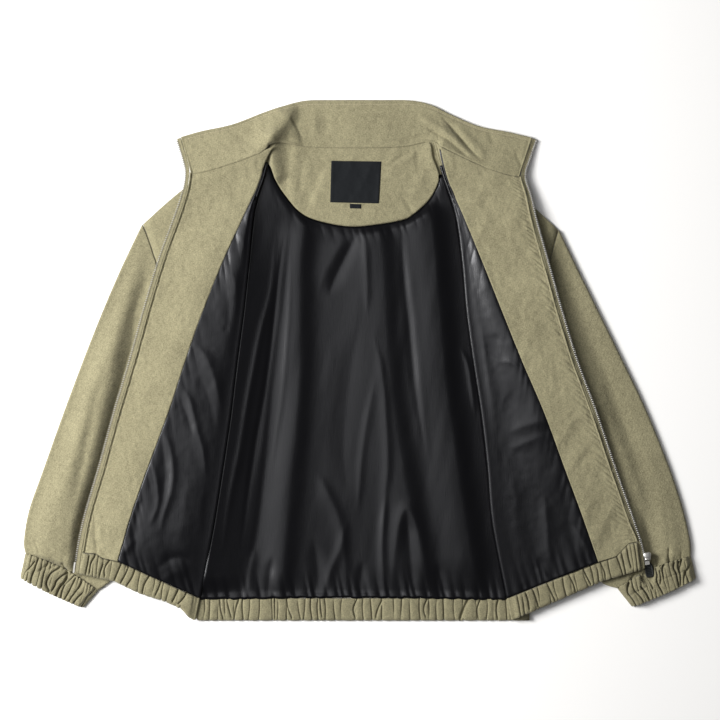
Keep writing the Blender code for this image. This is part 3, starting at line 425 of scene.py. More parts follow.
BAND_FOLDS = {
    "back": [
        (-2.6, 1.4, 1.2, [(-186, -321), (-185, -335), (-181, -349)]),
        (-2.4, 1.5, 1.2, [(-177, -321), (-173, -337), (-170, -347)]),
        (-2.6, 1.6, 1.3, [(-160, -321), (-164, -333), (-167, -349)]),
        (-2.6, 1.3, 1.2, [(-112, -319), (-112, -349)]),
        (-2.6, 1.4, 1.2, [(-96, -318), (-94, -333), (-88, -348)]),
        (-2.4, 1.5, 1.3, [(-51, -319), (-50, -334), (-48, -346)]),
        (-2.4, 1.5, 1.3, [(0, -320), (-6, -334), (-3, -347)]),
        (-2.2, 1.5, 1.3, [(34, -320), (27, -335), (24, -347)]),
        (-2.0, 1.5, 1.3, [(94, -320), (89, -334), (92, -346)]),
        (-2.8, 3.0, 2.0, [(150, -320), (143, -335), (138, -349)]),
        (-2.4, 1.6, 1.4, [(166, -320), (161, -335), (163, -349)]),
        (-2.4, 2.0, 1.6, [(190, -320), (187, -335), (189, -349)]),
    ],
    "right": [
        (-4.6, 1.6, 1.4, [(-351, -249), (-353, -261), (-359, -272), (-361, -287)]),
        (-4.0, 1.5, 1.3, [(-361, -258), (-363, -272), (-366, -287)]),
        (-4.0, 1.5, 1.3, [(-342, -270), (-345, -280), (-348, -291)]),
        (-3.0, 1.6, 1.4, [(-330, -262), (-338, -273), (-341, -281), (-340, -291)]),
        (-3.6, 1.4, 1.3, [(-317, -270), (-322, -282), (-328, -296)]),
        (-3.6, 1.5, 1.3, [(-308, -276), (-313, -288), (-320, -300)]),
        (-3.8, 1.6, 1.3, [(-299, -279), (-304, -292), (-312, -304)]),
        (-3.4, 1.6, 1.3, [(-279, -288), (-287, -301), (-290, -314)]),
        (-3.0, 1.5, 1.3, [(-264, -294), (-268, -308), (-273, -320)]),
        (-3.6, 1.8, 1.4, [(-240, -304), (-245, -318), (-250, -331)]),
        (-3.0, 1.6, 1.4, [(-229, -309), (-236, -324), (-243, -334)]),
    ],
    "left": [
        (-3.6, 1.4, 1.5, [(361, -255), (364, -268), (368, -279)]),
        (-3.4, 1.4, 1.5, [(354, -259), (358, -275), (361, -288)]),
        (-3.4, 1.4, 1.5, [(348, -262), (353, -277), (357, -289)]),
        (-3.6, 1.4, 1.4, [(381, -258), (383, -268), (386, -276)]),
        (-2.6, 1.4, 1.5, [(326, -270), (332, -284), (333, -294)]),
        (-3.2, 1.4, 1.5, [(302, -277), (309, -292), (314, -301)]),
        (-3.0, 1.4, 1.5, [(283, -286), (290, -300), (293, -311)]),
        (-3.2, 1.4, 1.5, [(253, -296), (260, -311), (266, -323)]),
        (-3.4, 1.4, 1.6, [(234, -305), (240, -320), (243, -332)]),
        (-3.2, 1.4, 1.6, [(225, -310), (229, -322), (231, -336)]),
    ],
}


# ---------------------------------------------------------------- arrays of points


def held(value):
    """A value held between 0 and 1."""
    return np.clip(value, 0, 1)


def smooth_step(share):
    share = np.clip(share, 0.0, 1.0)
    return share * share * (3 - 2 * share)


def ramp(value, start, length):
    """0 at a start and eased to 1 a length past it, or before it where the length is negative."""
    return smooth_step((value - start) / length)


def bell(value, width=1.0, middle=0.0):
    """1 at the middle, falling away to both sides."""
    return np.exp(-(((value - middle) / width) ** 2))


def hump(value, length=1.0):
    """0 at 0 and at a length, and 1 half way."""
    return np.sin(np.pi * held(value / length))


def choose(where, there, elsewhere):
    """Rows of coordinates from there where a test holds, and from elsewhere where it doesn't."""
    return np.where(where[..., None], there, elsewhere)


def along(values, share):
    """Values at shares of the way along evenly spaced ones, on a smooth curve through all of them."""
    values = np.asarray(values, float)
    place = np.clip(share, 0.0, 1.0) * (len(values) - 1)
    index = np.minimum(place.astype(int), len(values) - 2)
    t = place - index
    if values.ndim > 1:
        t = t[..., None]
    before = values[np.maximum(index - 1, 0)]
    start = values[index]
    end = values[index + 1]
    after = values[np.minimum(index + 2, len(values) - 1)]
    bend = (2 * before - 5 * start + 4 * end - after) * t**2
    twist = (3 * start - before - 3 * end + after) * t**3
    return start + 0.5 * ((end - before) * t + bend + twist)


def column(rows, name):
    """One field of a table's rows, as an array."""
    return np.array([getattr(row, name) for row in rows], float)


def unit(vectors):
    """Vectors of length 1 in the same directions."""
    return vectors / np.maximum(np.linalg.norm(vectors, axis=-1, keepdims=True), 1e-9)


def norm(vectors):
    """The lengths of vectors."""
    return np.linalg.norm(vectors, axis=-1)


def left_of(direction):
    """Directions in plan turned by a quarter turn to the left."""
    return np.stack([-direction[..., 1], direction[..., 0]], -1)


def mix(start, end, share):
    """Points at shares of the way from start to end."""
    return start + (end - start) * np.asarray(share)[..., None]


def with_height(plan, height):
    """Points from places in plan and their heights."""
    return np.concatenate([plan, np.broadcast_to(height, plan.shape[:-1])[..., None]], -1)


def grid(columns, rows):
    """Column and row shares over a grid, as two arrays of rows + 1 by columns + 1."""
    return np.meshgrid(np.linspace(0, 1, columns + 1), np.linspace(0, 1, rows + 1))


def stretches(*runs):
    """Places over one run after another, each given by its start, its end and its number of points."""
    return np.concatenate([np.linspace(*run)[min(number, 1) :] for number, run in enumerate(runs)])


def ripple(x, y, size, seed, angle=0.0, stretch=1.0):
    """Smooth noise from -1 to 1 with lumps of a size, stretched along an angle in degrees."""
    turn = math.radians(angle)
    u = (x * math.cos(turn) + y * math.sin(turn)) / (size * stretch) + 97.3
    v = (y * math.cos(turn) - x * math.sin(turn)) / size + 61.7
    table = np.random.default_rng(seed).uniform(-1, 1, (64, 64))
    i = np.floor(u).astype(int)
    j = np.floor(v).astype(int)
    s = smooth_step(u - i)
    t = smooth_step(v - j)
    near = table[i % 64, j % 64] * (1 - s) + table[(i + 1) % 64, j % 64] * s
    far = table[i % 64, (j + 1) % 64] * (1 - s) + table[(i + 1) % 64, (j + 1) % 64] * s
    return near * (1 - t) + far * t


def crumple(x, y, size, seed, angle=0.0, stretch=1.0):
    """Noise with ridges that have sharp crests, as washed cloth has."""
    first = 1 - 2 * np.abs(ripple(x, y, size, seed, angle, stretch))
    second = ripple(x, y, size * 0.45, seed + 1, angle, stretch)
    return 0.7 * first + 0.3 * second


ROUTE_STEPS = 5  # straight runs between two points of a fold's route


def relief(x, y, folds, fade=0.34, narrow=1.0):
    """How far folds raise the cloth at places, each narrowing and dying away over a share of both ends."""
    height = np.zeros_like(x)
    for rise, west, east, places in folds:
        route = along(places, np.linspace(0, 1, (len(places) - 1) * ROUTE_STEPS + 1))
        reach = 2.6 * max(west, east)
        low = route.min(axis=0) - reach
        high = route.max(axis=0) + reach
        near = (x > low[0]) & (x < high[0]) & (y > low[1]) & (y < high[1])
        if not near.any():
            continue
        place = np.stack([x[near], y[near]], -1)
        nearest = np.full(len(place), np.inf)
        signed = np.zeros(len(place))
        share = np.zeros(len(place))
        for step, (start, end) in enumerate(zip(route[:-1], route[1:])):
            run = end - start
            t = held((place - start) @ run / (run @ run))
            offset = place - start - t[:, None] * run
            distance = np.hypot(offset[:, 0], offset[:, 1])
            closer = distance < nearest
            nearest = np.where(closer, distance, nearest)
            side = run[0] * offset[:, 1] - run[1] * offset[:, 0]
            signed = np.where(closer, side, signed)
            share = np.where(closer, (step + t) / (len(route) - 1), share)
        ends = smooth_step(share / fade) * smooth_step((1 - share) / fade)
        aside = nearest / (np.where(signed > 0, east, west) * (0.45 + 0.55 * ends) * narrow)
        height[near] += rise * bell(aside) * ends
    return height


def gathers(place, seed, narrowest, widest):
    """The pleats of cloth gathered on elastic: round humps of uneven width with sharp valleys between them.

    Gives the height of the cloth from 0, in a valley, to about 1.
    """
    random = np.random.default_rng(seed)
    span = place.max() - place.min() + 4 * widest
    edges = place.min() - 2 * widest + np.cumsum(random.uniform(narrowest, widest, int(span / narrowest) + 4))
    tops = random.uniform(0.5, 1.0, len(edges))
    lean = random.uniform(0.55, 1.5, len(edges))
    index = np.clip(np.searchsorted(edges, place) - 1, 0, len(edges) - 2)
    t = held((place - edges[index]) / (edges[index + 1] - edges[index]))
    return tops[index] * hump(t ** lean[index]) ** 0.62


def panels(place, share, seed, narrowest, widest, lean):
    """The height of cloth drawn up on elastic: flat panels of uneven width between sharp grooves.

    Each groove crosses the band at its own slant and depth, and some die away half way. place is the way
    along the band and share the way down it, the same for a whole row. Gives 1 on a panel and less in a
    groove.
    """
    random = np.random.default_rng(seed)
    count = int((place.max() - place.min() + 6 * widest) / narrowest) + 4
    tops = place.min() - 3 * widest + np.cumsum(random.uniform(narrowest, widest, count))
    bottoms = tops + random.uniform(-lean, lean, count)
    order = np.arange(count) * 1.8
    bottoms = np.maximum.accumulate(bottoms - order) + order
    bends = random.uniform(-1.1, 1.1, count)
    depth = random.choice([0.3, 0.5, 0.75, 1.0], count)
    fade = random.choice([-1, 0, 0, 1], count)
    height = np.ones_like(place)
    for row in range(place.shape[0]):
        down = share[row, 0]
        grooves = tops + (bottoms - tops) * down + bends * math.sin(1.3 * math.pi * down)
        dying = smooth_step(1.5 - 1.5 * down)
        starting = smooth_step(1.5 * down)
        reach = np.where(fade > 0, dying, np.where(fade < 0, starting, 1))
        index = np.clip(np.searchsorted(grooves, place[row]) - 1, 0, count - 2)
        after = place[row] - grooves[index]
        before = grooves[index + 1] - place[row]
        sharp = bell(after, 1.2) * (depth * reach)[index]
        soft = bell(before, 0.75) * (depth * reach)[index + 1]
        width = grooves[index + 1] - grooves[index]
        crown = 0.26 * hump(held(after / width) ** 0.8)
        height[row] = 0.8 + crown - np.maximum(sharp, soft)
    return height


# ---------------------------------------------------------------- forms of the solids

EDGE_RISE = {"right": 0.0, "left": 9.5}  # how much more the free edge of a front stands up half way down
SEAM_RISE = 0.6  # how large a share of that its facing's seam is raised


def edge_rise(side, share):
    """How far the free edge of a front is raised at shares of the way down it."""
    return EDGE_RISE[side] * ramp(share, 0.02, 0.3) * ramp(share, 0.9, -0.3)


def zip_rows(side):
    """The free edge of the zip from the hem to the top of the collar: place, inward direction and height."""
    rows = [BAND_BOTTOM_ROW[side], *reversed(FRONT_ROWS[side])]
    edges = list(column(rows, "zip"))
    inward = list(unit(column(rows, "facing") - column(rows, "zip")))
    rises = edge_rise(side, (len(rows) - 1 - np.arange(len(rows))) / (len(rows) - 2))
    heights = [OVER_SHELL + row.lift + rise + ZIP_RISE for row, rise in zip(rows, rises)]
    end = COLLAR_ROWS[COLLAR_ENDS[side]]
    beside = COLLAR_ROWS[1 if side == "right" else -2]
    for share in ZIP_COLLAR_SHARES:
        corner = mix(np.array(end.seam), np.array(end.top), share)
        direction = unit(mix(np.array(beside.seam), np.array(beside.top), share) - corner)
        edges.append(corner - direction * (ZIP_STRIP + BUTT_GAP))
        inward.append(direction)
        drop = (1 - share) ** COLLAR_FALL
        heights.append(end.top_height + (end.seam_height - end.top_height) * drop + ZIP_RISE)
    return np.array(edges), np.array(inward), np.array(heights)


ZIP_ROWS = {side: zip_rows(side) for side in SIDES}


def zip_point(side, share, reach):
    """Points of the zip: share from the hem to the collar's top, reach inward from the free edge."""
    edges, inward, heights = ZIP_ROWS[side]
    share = np.asarray(share, float)
    plan = along(edges, share) + unit(along(inward, share)) * np.broadcast_to(reach, share.shape)[..., None]
    return with_height(plan, along(heights, share))


def zip_place(side, share, reach=0.0):
    """One point of the zip."""
    return zip_point(side, np.array([share]), np.full(1, reach))[0]


def side_seam(side, down):
    """The seam between a front and what it joins: 0 to 1 down the armhole, 1 to 2 down the side."""
    seam = SIDE_SEAMS[side]
    armhole = mix(np.array(seam.armhole_top), np.array(seam.underarm), held(down))
    armhole[..., 0] += TOWARDS_MIDDLE[side] * seam.bow * hump(held(down) ** 0.8)
    lower = mix(np.array(seam.underarm), np.array(seam.hem), held(down - 1))
    return choose(down > 1, lower, armhole)


def front_rows_at(side, share):
    """A front's cross-sections in plan: cloth edge, facing edge, centre of the fold and the way it bulges."""
    rows = FRONT_ROWS[side]
    spaces = len(rows) - 1
    on_zip = (1 + spaces * (1 - share)) / (spaces + 1 + len(ZIP_COLLAR_SHARES))
    edge = zip_point(side, on_zip, ZIP_STRIP + BUTT_GAP)[..., :2]
    folds = column(rows, "fold")
    run = along(folds, share + 0.02) - along(folds, share - 0.02)
    inward = left_of(unit(run)) * TOWARDS_MIDDLE[side]
    reach = FOLD_RADIUS + SKIN_STEP + INNER / 2
    return edge, along(column(rows, "facing"), share), along(folds, share) - inward * reach, inward


def shoulder(side, share):
    """The shoulder edge, from the neck to the top of the armhole."""
    neck = front_rows_at(side, np.zeros(1))[2][0]
    tip = np.array(SIDE_SEAMS[side].armhole_top, float)
    outward = left_of(unit(neck - tip)) * TOWARDS_MIDDLE[side]
    return mix(neck, tip, share) + outward * (SHOULDER_BOW[side] * hump(share))[..., None]


FOLD_SHARPNESS = 0.6  # below 1 a folded edge is flatter with tighter corners than a half circle


def cornered(wave):
    """A sine or cosine with flatter sides and tighter corners."""
    return np.sign(wave) * np.abs(wave) ** FOLD_SHARPNESS


def front_point(side, across, share, out=0.0):
    """Points of a front.

    across is 0 at the zip, 1 at the facing's edge, 2 at the fold, 3 under it and 4 at the seam.
    """
    rows = FRONT_ROWS[side]
    edge, facing, turn, inward = front_rows_at(side, share)
    lift = along(column(rows, "lift"), share) * (1 - smooth_step(across / 1.6))
    rise = along(edge_rise(side, np.linspace(0, 1, len(rows))), share)
    seam_rise = SEAM_RISE * ramp(share, 0.2, 0.35) * hump(across, 2) ** 2
    lift = lift + rise * (1 - smooth_step(across) + seam_rise)
    on_facing = mix(edge, facing, held(across))
    on_facing[..., 1] -= NECKLINE_BOW * hump(held(across) ** 0.7) * np.maximum(0, 1 - 6 * share)
    on_lining = mix(facing, turn, held(across - 1))
    angle = np.pi * held(across - 2)
    on_turn = turn + inward * ((FOLD_RADIUS + out) * cornered(np.sin(angle)))[..., None]
    turn_height = UNDER_SHELL + FOLD_RADIUS + (FOLD_RADIUS + out) * cornered(np.cos(angle))
    hidden = held(across - 3)
    down = along(column(rows, "down"), share)
    seam = side_seam(side, down)
    seam[..., 0] += np.where(down > 1, BUTT_GAP * TOWARDS_MIDDLE[side], 0)
    at_shoulder = np.maximum(0, 1 - 18 * share)
    on_under = mix(turn, seam, hidden)
    on_under = mix(on_under, shoulder(side, hidden), at_shoulder)
    closing = np.maximum(at_shoulder, ramp(down, 1, 0.12))
    under_height = UNDER_SHELL - out - (UNDER_SHELL - SEAM_LEVEL) * smooth_step(2 * hidden - 1) * closing
    above = with_height(choose(across <= 1, on_facing, on_lining), OVER_SHELL + lift + out)
    below = with_height(on_under, under_height)
    turned = with_height(on_turn, turn_height)
    return choose(across <= 2, above, choose(across <= 3, turned, below))


def ring_point(outer, inner, bow, around, low, high):
    """Points of a flattened ring between two places.

    around is 0 to 1 over the upper wall, 1 to 2 round the inner fold, 2 to 3 back under and 3 to 4 round the
    outer fold.
    """
    run = unit(inner - outer)
    width = norm(inner - outer)
    radius = (high - low) / 2
    part = np.clip(np.floor(around), 0, 3)
    share = around - part
    straight = width - 2 * radius
    swing = radius * hump(share)
    parts = [part == 0, part == 1, part == 2]
    reaches = [radius + share * straight, width - radius + swing, radius + (1 - share) * straight]
    reach = np.select(parts, reaches, radius - swing)
    turn = radius * np.cos(np.pi * share)
    height = np.select(parts, [high, low + radius + turn, low], low + radius - turn)
    towards_shoulder = left_of(run)
    towards_shoulder = towards_shoulder * np.where(towards_shoulder[..., 1] < 0, -1, 1)[..., None]
    curve = bow * hump(reach, width)
    plan = outer + run * reach[..., None] + towards_shoulder * curve[..., None]
    return with_height(plan, height)


def around_ring(columns, arc_columns, under_columns):
    """Column places round a flattened ring, open where it closes on itself."""
    upper = np.arange(columns) / columns
    arc = np.arange(arc_columns) / arc_columns
    return np.concatenate([upper, 1 + arc, 2 + np.arange(under_columns) / under_columns, 3 + arc])


def down_ring(around):
    """How far down from the outer to the inner fold of a ring places lie, on both walls."""
    return np.select([around < 1, around < 2, around < 3], [around, np.ones_like(around), 3 - around], 0.0)


def collar_point(share, down):
    """Points of the collar: share from the right zip to the left one, down from its top edge to its seam."""
    plan = mix(along(column(COLLAR_ROWS, "top"), share), along(column(COLLAR_ROWS, "seam"), share), down)
    low = along(column(COLLAR_ROWS, "top_height"), share)
    height = low + (along(column(COLLAR_ROWS, "seam_height"), share) - low) * down**COLLAR_FALL
    return with_height(plan, np.maximum(height, FLOOR_SHELL))


def facing_curve(share, below=0.0):
    """The lower edge of the neck facing, or a line a little below it."""
    tangent = unit(along(FACING_CURVE, share + 0.01) - along(FACING_CURVE, share - 0.01))
    return along(FACING_CURVE, share) - left_of(tangent) * below


# ---------------------------------------------------------------- meshes


def new_object(name, mesh, material, body="jacket", stands_for=()):
    mesh.materials.append(material)
    obj = bpy.data.objects.new(name, mesh)
    bpy.context.scene.collection.objects.link(obj)
    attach(obj, body)
    if stands_for:
        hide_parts(*stands_for)
    return obj


def grid_normals(points, wrap, up):
    if wrap:
        across = np.roll(points, -1, axis=1) - np.roll(points, 1, axis=1)
    else:
        across = np.gradient(points, axis=1)
    return unit(np.cross(np.gradient(points, axis=0), across)) * up


RIM = 0.45  # how thick the cloth is at its very edge, against the rest


def cloth(name, middle, thickness, material, slot, stands_for=(), grain=0.0, wrap=False, up=1, body="jacket"):
    """A closed thin shell round a grid of middle points.

    Its rows run from the collar down and its columns from west to east, or from east to west where up is -1.
    grain is the angle of the weave in plan, in degrees.
    """
    rows, columns = middle.shape[:2]
    rim = np.ones((rows, columns))
    rim[[0, -1], :] = RIM
    if not wrap:
        rim[:, [0, -1]] = RIM
    half = grid_normals(middle, wrap, up) * (thickness / 2 * rim)[..., None]
    count = rows * columns
    points = np.concatenate([(middle + half).reshape(-1, 3), (middle - half).reshape(-1, 3)]) * MM
    index = np.arange(count).reshape(rows, columns)
    if wrap:
        index = np.concatenate([index, index[:, :1]], axis=1)
    quads = np.stack([index[:-1, :-1], index[1:, :-1], index[1:, 1:], index[:-1, 1:]], -1).reshape(-1, 4)
    if wrap:
        loops = [index[-1], index[0, ::-1]]
    else:
        loops = [np.concatenate([index[:-1, 0], index[-1, :-1], index[:0:-1, -1], index[0, ::-1]])]
    rims = [np.stack([loop[1:], loop[:-1], loop[:-1] + count, loop[1:] + count], -1) for loop in loops]
    faces = np.concatenate([quads, quads[:, ::-1] + count, *rims])
    if up < 0:
        faces = faces[:, ::-1]
    mesh = bpy.data.meshes.new(name)
    mesh.from_pydata(points.tolist(), [], faces.tolist())
    turn = math.radians(grain)
    u = points[:, 0] * math.cos(turn) + points[:, 1] * math.sin(turn)
    v = points[:, 1] * math.cos(turn) - points[:, 0] * math.sin(turn)
    layer = mesh.uv_layers.new(name="Cloth")
    layer.data.foreach_set("uv", np.stack([u, v], -1)[faces.ravel()].ravel())
    mesh.shade_smooth()
    return new_object(name, mesh, material, body, stands_for)


def cloth_for(node, middle, thickness, material, slot, **settings):
    """A cloth piece in the place of the solid of one node."""
    return cloth(f"{node}_cloth", middle, thickness, material, slot, [node], **settings)


def joined(name, template, matrices, material, body="jacket", stands_for=()):
    """One mesh of copies of a small closed template, a bmesh, at each matrix."""
    corners = np.array([vertex.co[:] for vertex in template.verts])
    template.verts.index_update()
    faces = [[vertex.index for vertex in face.verts] for face in template.faces]
    points = []
    polygons = []
    for number, matrix in enumerate(matrices):
        turn = np.array(matrix.to_3x3())
        points.append(corners @ turn.T + np.array(matrix.translation))
        polygons += [[number * len(corners) + corner for corner in face] for face in faces]
    template.free()
    mesh = bpy.data.meshes.new(name)
    mesh.from_pydata((np.concatenate(points) * MM).tolist(), [], polygons)
    mesh.shade_smooth()
    return new_object(name, mesh, material, body, stands_for)


def rounded_block(size, bevel, segments=2):
    """A small block with rounded edges, in millimetres, round the origin."""
    shape = bmesh.new()
    bmesh.ops.create_cube(shape, size=1.0)
    for vertex in shape.verts:
        vertex.co = Vector([c * s for c, s in zip(vertex.co, size)])
    bmesh.ops.bevel(shape, geom=shape.edges[:], offset=bevel, segments=segments, affect="EDGES", profile=0.6)
    return shape


def facing_along(run, normal):
    """A turn whose X axis follows a run and whose Z axis is near a normal."""
    x_axis = Vector(run).normalized()
    y_axis = Vector(normal).cross(x_axis).normalized()
    z_axis = x_axis.cross(y_axis)
    return Matrix((x_axis, y_axis, z_axis)).transposed().to_4x4()


STITCH = 2.9
STITCH_GAP = 0.9


def travelled(route):
    """How far along a route each of its points lies."""
    return np.concatenate([[0], np.cumsum(np.linalg.norm(np.diff(route, axis=0), axis=1))])


def stitches(route, lean=0.0):
    """Matrices for stitches along a dense route of points, each lying on the cloth."""
    distances = travelled(route)
    found = []
    for place in np.arange(STITCH, distances[-1] - STITCH, STITCH + STITCH_GAP):
        start, middle, end = (
            np.array([np.interp(place + step, distances, route[:, axis]) for axis in range(3)])
            for step in (-STITCH / 2, 0, STITCH / 2)
        )
        turn = facing_along(end - start, (0, 0, 1)) @ Matrix.Rotation(lean, 4, "Z")
        found.append(Matrix.Translation(middle) @ turn)
    return found


def stitch_row(name, route):
    """A row of fine stitches in thread."""
    joined(name, rounded_block((STITCH, 0.55, 0.42), 0.14, 1), stitches(route), THREAD)


# ---------------------------------------------------------------- materials


class Nodes:
    """The nodes of one material round its Principled BSDF."""

    def __init__(self, name):
        self.material = bpy.data.materials.new(name)
        self.material.use_nodes = True
        self.tree = self.material.node_tree
        self.shader = self.tree.nodes["Principled BSDF"]

    def add(self, kind, **settings):
        node = self.tree.nodes.new(kind)
        for setting, value in settings.items():
            setattr(node, setting, value)
        return node

    def link(self, output, socket):
        self.tree.links.new(output, socket)

    def set(self, **values):
        for name, value in values.items():
            self.shader.inputs[name.replace("_", " ")].default_value = value

    def cloth_places(self, scale, turn=0.0):
        """Places on the cloth, in its own weave, scaled so that 1 is one lump of noise."""
        source = self.add("ShaderNodeUVMap", uv_map="Cloth")
        mapping = self.add("ShaderNodeMapping")
        mapping.inputs["Scale"].default_value = (scale[0], scale[1], 1)
        mapping.inputs["Rotation"].default_value = (0, 0, math.radians(turn))
        self.link(source.outputs["UV"], mapping.inputs["Vector"])
        return mapping.outputs["Vector"]

    def noise(self, places, detail=2.0, roughness=0.5):
        node = self.add("ShaderNodeTexNoise", noise_dimensions="2D")
        node.inputs["Scale"].default_value = 1.0
        node.inputs["Detail"].default_value = detail
        node.inputs["Roughness"].default_value = roughness
        self.link(places, node.inputs["Vector"])
        return node.outputs["Fac"]

    def weighted(self, terms, start):
        """start plus each value, taken from its middle of 0.5, times its weight."""
        total = None
        for value, weight in terms:
            node = self.add("ShaderNodeMath", operation="MULTIPLY_ADD")
            node.inputs[1].default_value = weight
            self.link(value, node.inputs[0])
            if total:
                self.link(total, node.inputs[2])
            else:
                node.inputs[2].default_value = start - 0.5 * sum(term[1] for term in terms)
            total = node.outputs[0]
        return total

    def color_between(self, share, dark, light):
        node = self.add("ShaderNodeValToRGB")
        for element, color in zip(node.color_ramp.elements, (dark, light)):
            element.color = (*color, 1)
        self.link(share, node.inputs["Fac"])
        self.link(node.outputs["Color"], self.shader.inputs["Base Color"])

    def bump(self, height, distance):
        node = self.add("ShaderNodeBump")
        node.inputs["Distance"].default_value = distance * MM
        node.inputs["Strength"].default_value = 1.0
        self.link(height, node.inputs["Height"])
        self.link(node.outputs["Normal"], self.shader.inputs["Normal"])


def khaki_cotton(name, dark, light):
    """Washed slubby twill: uneven threads both ways over soft blotches."""
    nodes = Nodes(name)
    weft = nodes.noise(nodes.cloth_places((260, 1150)), 2)
    warp = nodes.noise(nodes.cloth_places((1150, 240)), 2)
    speckle = nodes.noise(nodes.cloth_places((620, 620), 30), 2)
    blotches = nodes.noise(nodes.cloth_places((150, 150)), 3)
    broad = nodes.noise(nodes.cloth_places((15, 15)), 2)
    shade = nodes.weighted([(weft, 0.55), (warp, 0.5), (speckle, 0.7), (blotches, 0.35), (broad, 0.3)], 0.5)
    nodes.color_between(shade, dark, light)
    twill = nodes.add("ShaderNodeTexWave", bands_direction="X")
    twill.inputs["Scale"].default_value = 1.0
    twill.inputs["Distortion"].default_value = 1.2
    nodes.link(nodes.cloth_places((160, 160), 52), twill.inputs["Vector"])
    creases = nodes.noise(nodes.cloth_places((70, 55), 20), 3, 0.55)
    bumps = [(weft, 0.8), (warp, 0.6), (twill.outputs["Fac"], 0.25), (blotches, 0.6), (creases, 2.4)]
    nodes.bump(nodes.weighted(bumps, 0.5), 0.5)
    nodes.set(Roughness=0.88, Sheen_Weight=0.15, Sheen_Roughness=0.5, Specular_IOR_Level=0.25)
    return nodes.material


def black_satin():
    nodes = Nodes("black_satin")
    threads = nodes.noise(nodes.cloth_places((900, 60)), 2)
    clouds = nodes.noise(nodes.cloth_places((40, 30)), 3)
    nodes.color_between(nodes.weighted([(threads, 0.4), (clouds, 0.4)], 0.5), SATIN_DARK, SATIN_LIGHT)
    nodes.bump(nodes.weighted([(threads, 0.5), (clouds, 1.0)], 0.5), 0.12)
    nodes.set(Roughness=0.3, Specular_IOR_Level=0.32, Specular_Tint=(0.95, 0.96, 1.0, 1))
    return nodes.material


def woven_black(name, base, ribs):
    """Black cloth with fine woven ribs."""
    nodes = Nodes(name)
    threads = nodes.noise(nodes.cloth_places((200, ribs)), 2)
    nodes.color_between(threads, [0.7 * part for part in base], [1.3 * part for part in base])
    nodes.bump(threads, 0.25)
    nodes.set(Roughness=0.8, Sheen_Weight=0.1, Specular_IOR_Level=0.2)
    return nodes.material


def grained(name, base, dark_share, grain_scale, roughness, metallic=0.0, depth=None):
    """A hard surface with a fine grain in its colour, and in its height where it has a depth."""
    nodes = Nodes(name)
    source = nodes.add("ShaderNodeTexCoord")
    grain = nodes.add("ShaderNodeTexNoise")
    grain.inputs["Scale"].default_value = grain_scale
    nodes.link(source.outputs["Object"], grain.inputs["Vector"])
    nodes.color_between(grain.outputs["Fac"], [dark_share * part for part in base], base)
    if depth:
        nodes.bump(grain.outputs["Fac"], depth)
    nodes.set(Metallic=metallic, Roughness=roughness)
    return nodes.material


def metal(name, base, roughness):
    return grained(name, base, 0.8, 900, roughness, metallic=1.0)


KHAKI_DARK = (0.120, 0.107, 0.062)
KHAKI_LIGHT = (0.395, 0.365, 0.226)
SATIN_DARK = (0.0015, 0.0015, 0.002)
SATIN_LIGHT = (0.0035, 0.0035, 0.0045)


def khaki(name, share):
    """The jacket's own cotton at a share of its brightness."""
    return khaki_cotton(name, [share * part for part in KHAKI_DARK], [share * part for part in KHAKI_LIGHT])


KHAKI = khaki("khaki_cotton", 1.0)
# The same cotton at 0.93 of its brightness: painted shade on the sleeves, standing in for the shading of
# their folds.
KHAKI_SLEEVE_PAINTED_SHADE = khaki("khaki_sleeve_painted_shade", 0.93)
# The same cotton at 0.85 of its brightness: painted shade on the cuffs and hem bands, standing in for the
# shade in their gathers.
KHAKI_BAND_PAINTED_SHADE = khaki("khaki_band_painted_shade", 0.85)
SATIN = black_satin()
LABEL_CLOTH = woven_black("label_cloth", (0.005, 0.0065, 0.0085), 1500)
TAPE = khaki("zip_tape", 0.8)
THREAD = khaki_cotton("khaki_thread", (0.32, 0.28, 0.19), (0.52, 0.47, 0.33))
NICKEL = metal("satin_nickel", (0.5, 0.49, 0.46), 0.45)
POLISHED = metal("polished_nickel", (0.86, 0.85, 0.82), 0.38)
RUBBER = grained("black_rubber", (0.006, 0.008, 0.008), 0.9, 1200, 0.5, depth=0.02)


# ---------------------------------------------------------------- back


def soft_floor(height, floor, ease=0.5):
    """Heights eased up so that none lies below the floor."""
    return floor + ease * np.logaddexp(0, (height - floor) / ease)


SHOULDER_SHARE = 0.36  # how much of the top of the back is one shoulder; the neck lies between the two


def make_back_shell():
    """The back, as a patch stretched between its shoulders and neck, its two side seams and its hem."""
    across, down = grid(60, 66)
    places = np.linspace(0, 1, 61)
    from_middle = (places - SHOULDER_SHARE) / (1 - 2 * SHOULDER_SHARE)
    right = shoulder("right", held(1 - places / SHOULDER_SHARE))
    neck = along(NECK_SEAM[1:-1], held(from_middle))
    left = shoulder("left", held((places - 1 + SHOULDER_SHARE) / SHOULDER_SHARE))
    top = choose(places < SHOULDER_SHARE, right, choose(places > 1 - SHOULDER_SHARE, left, neck))
    west = side_seam("right", np.linspace(0, 2, 67))
    east = side_seam("left", np.linspace(0, 2, 67))
    sides = mix(west[:, None], east[:, None], across)
    ends = mix(top[None], mix(west[-1], east[-1], places)[None], down)
    corners = mix(mix(west[0], east[0], across), mix(west[-1], east[-1], across), down)
    plan = sides + ends - corners
    x, y = plan[..., 0], plan[..., 1]
    rise = np.maximum(relief(x, y, BACK_LINING_DRAPE), 0) * 0.3
    height = FLOOR_SHELL + rise * open_share(x, y) * ramp(y, 170, -20) * ramp(down, 1, -0.1)
    piece = cloth_for("back_shell", with_height(plan, height), SHELL - 0.1, KHAKI, "shell")


def neck_facing_height(x, y):
    folds = 1.3 * relief(x, y, NECK_FACING_FOLDS, 0.2) + 0.7 * crumple(x, y, 26, 11, 70, 1.6)
    return soft_floor(BACK_LINING + 0.9 + folds + 0.4 * crumple(x, y, 12, 12), BACK_LINING + 0.1, 0.25)


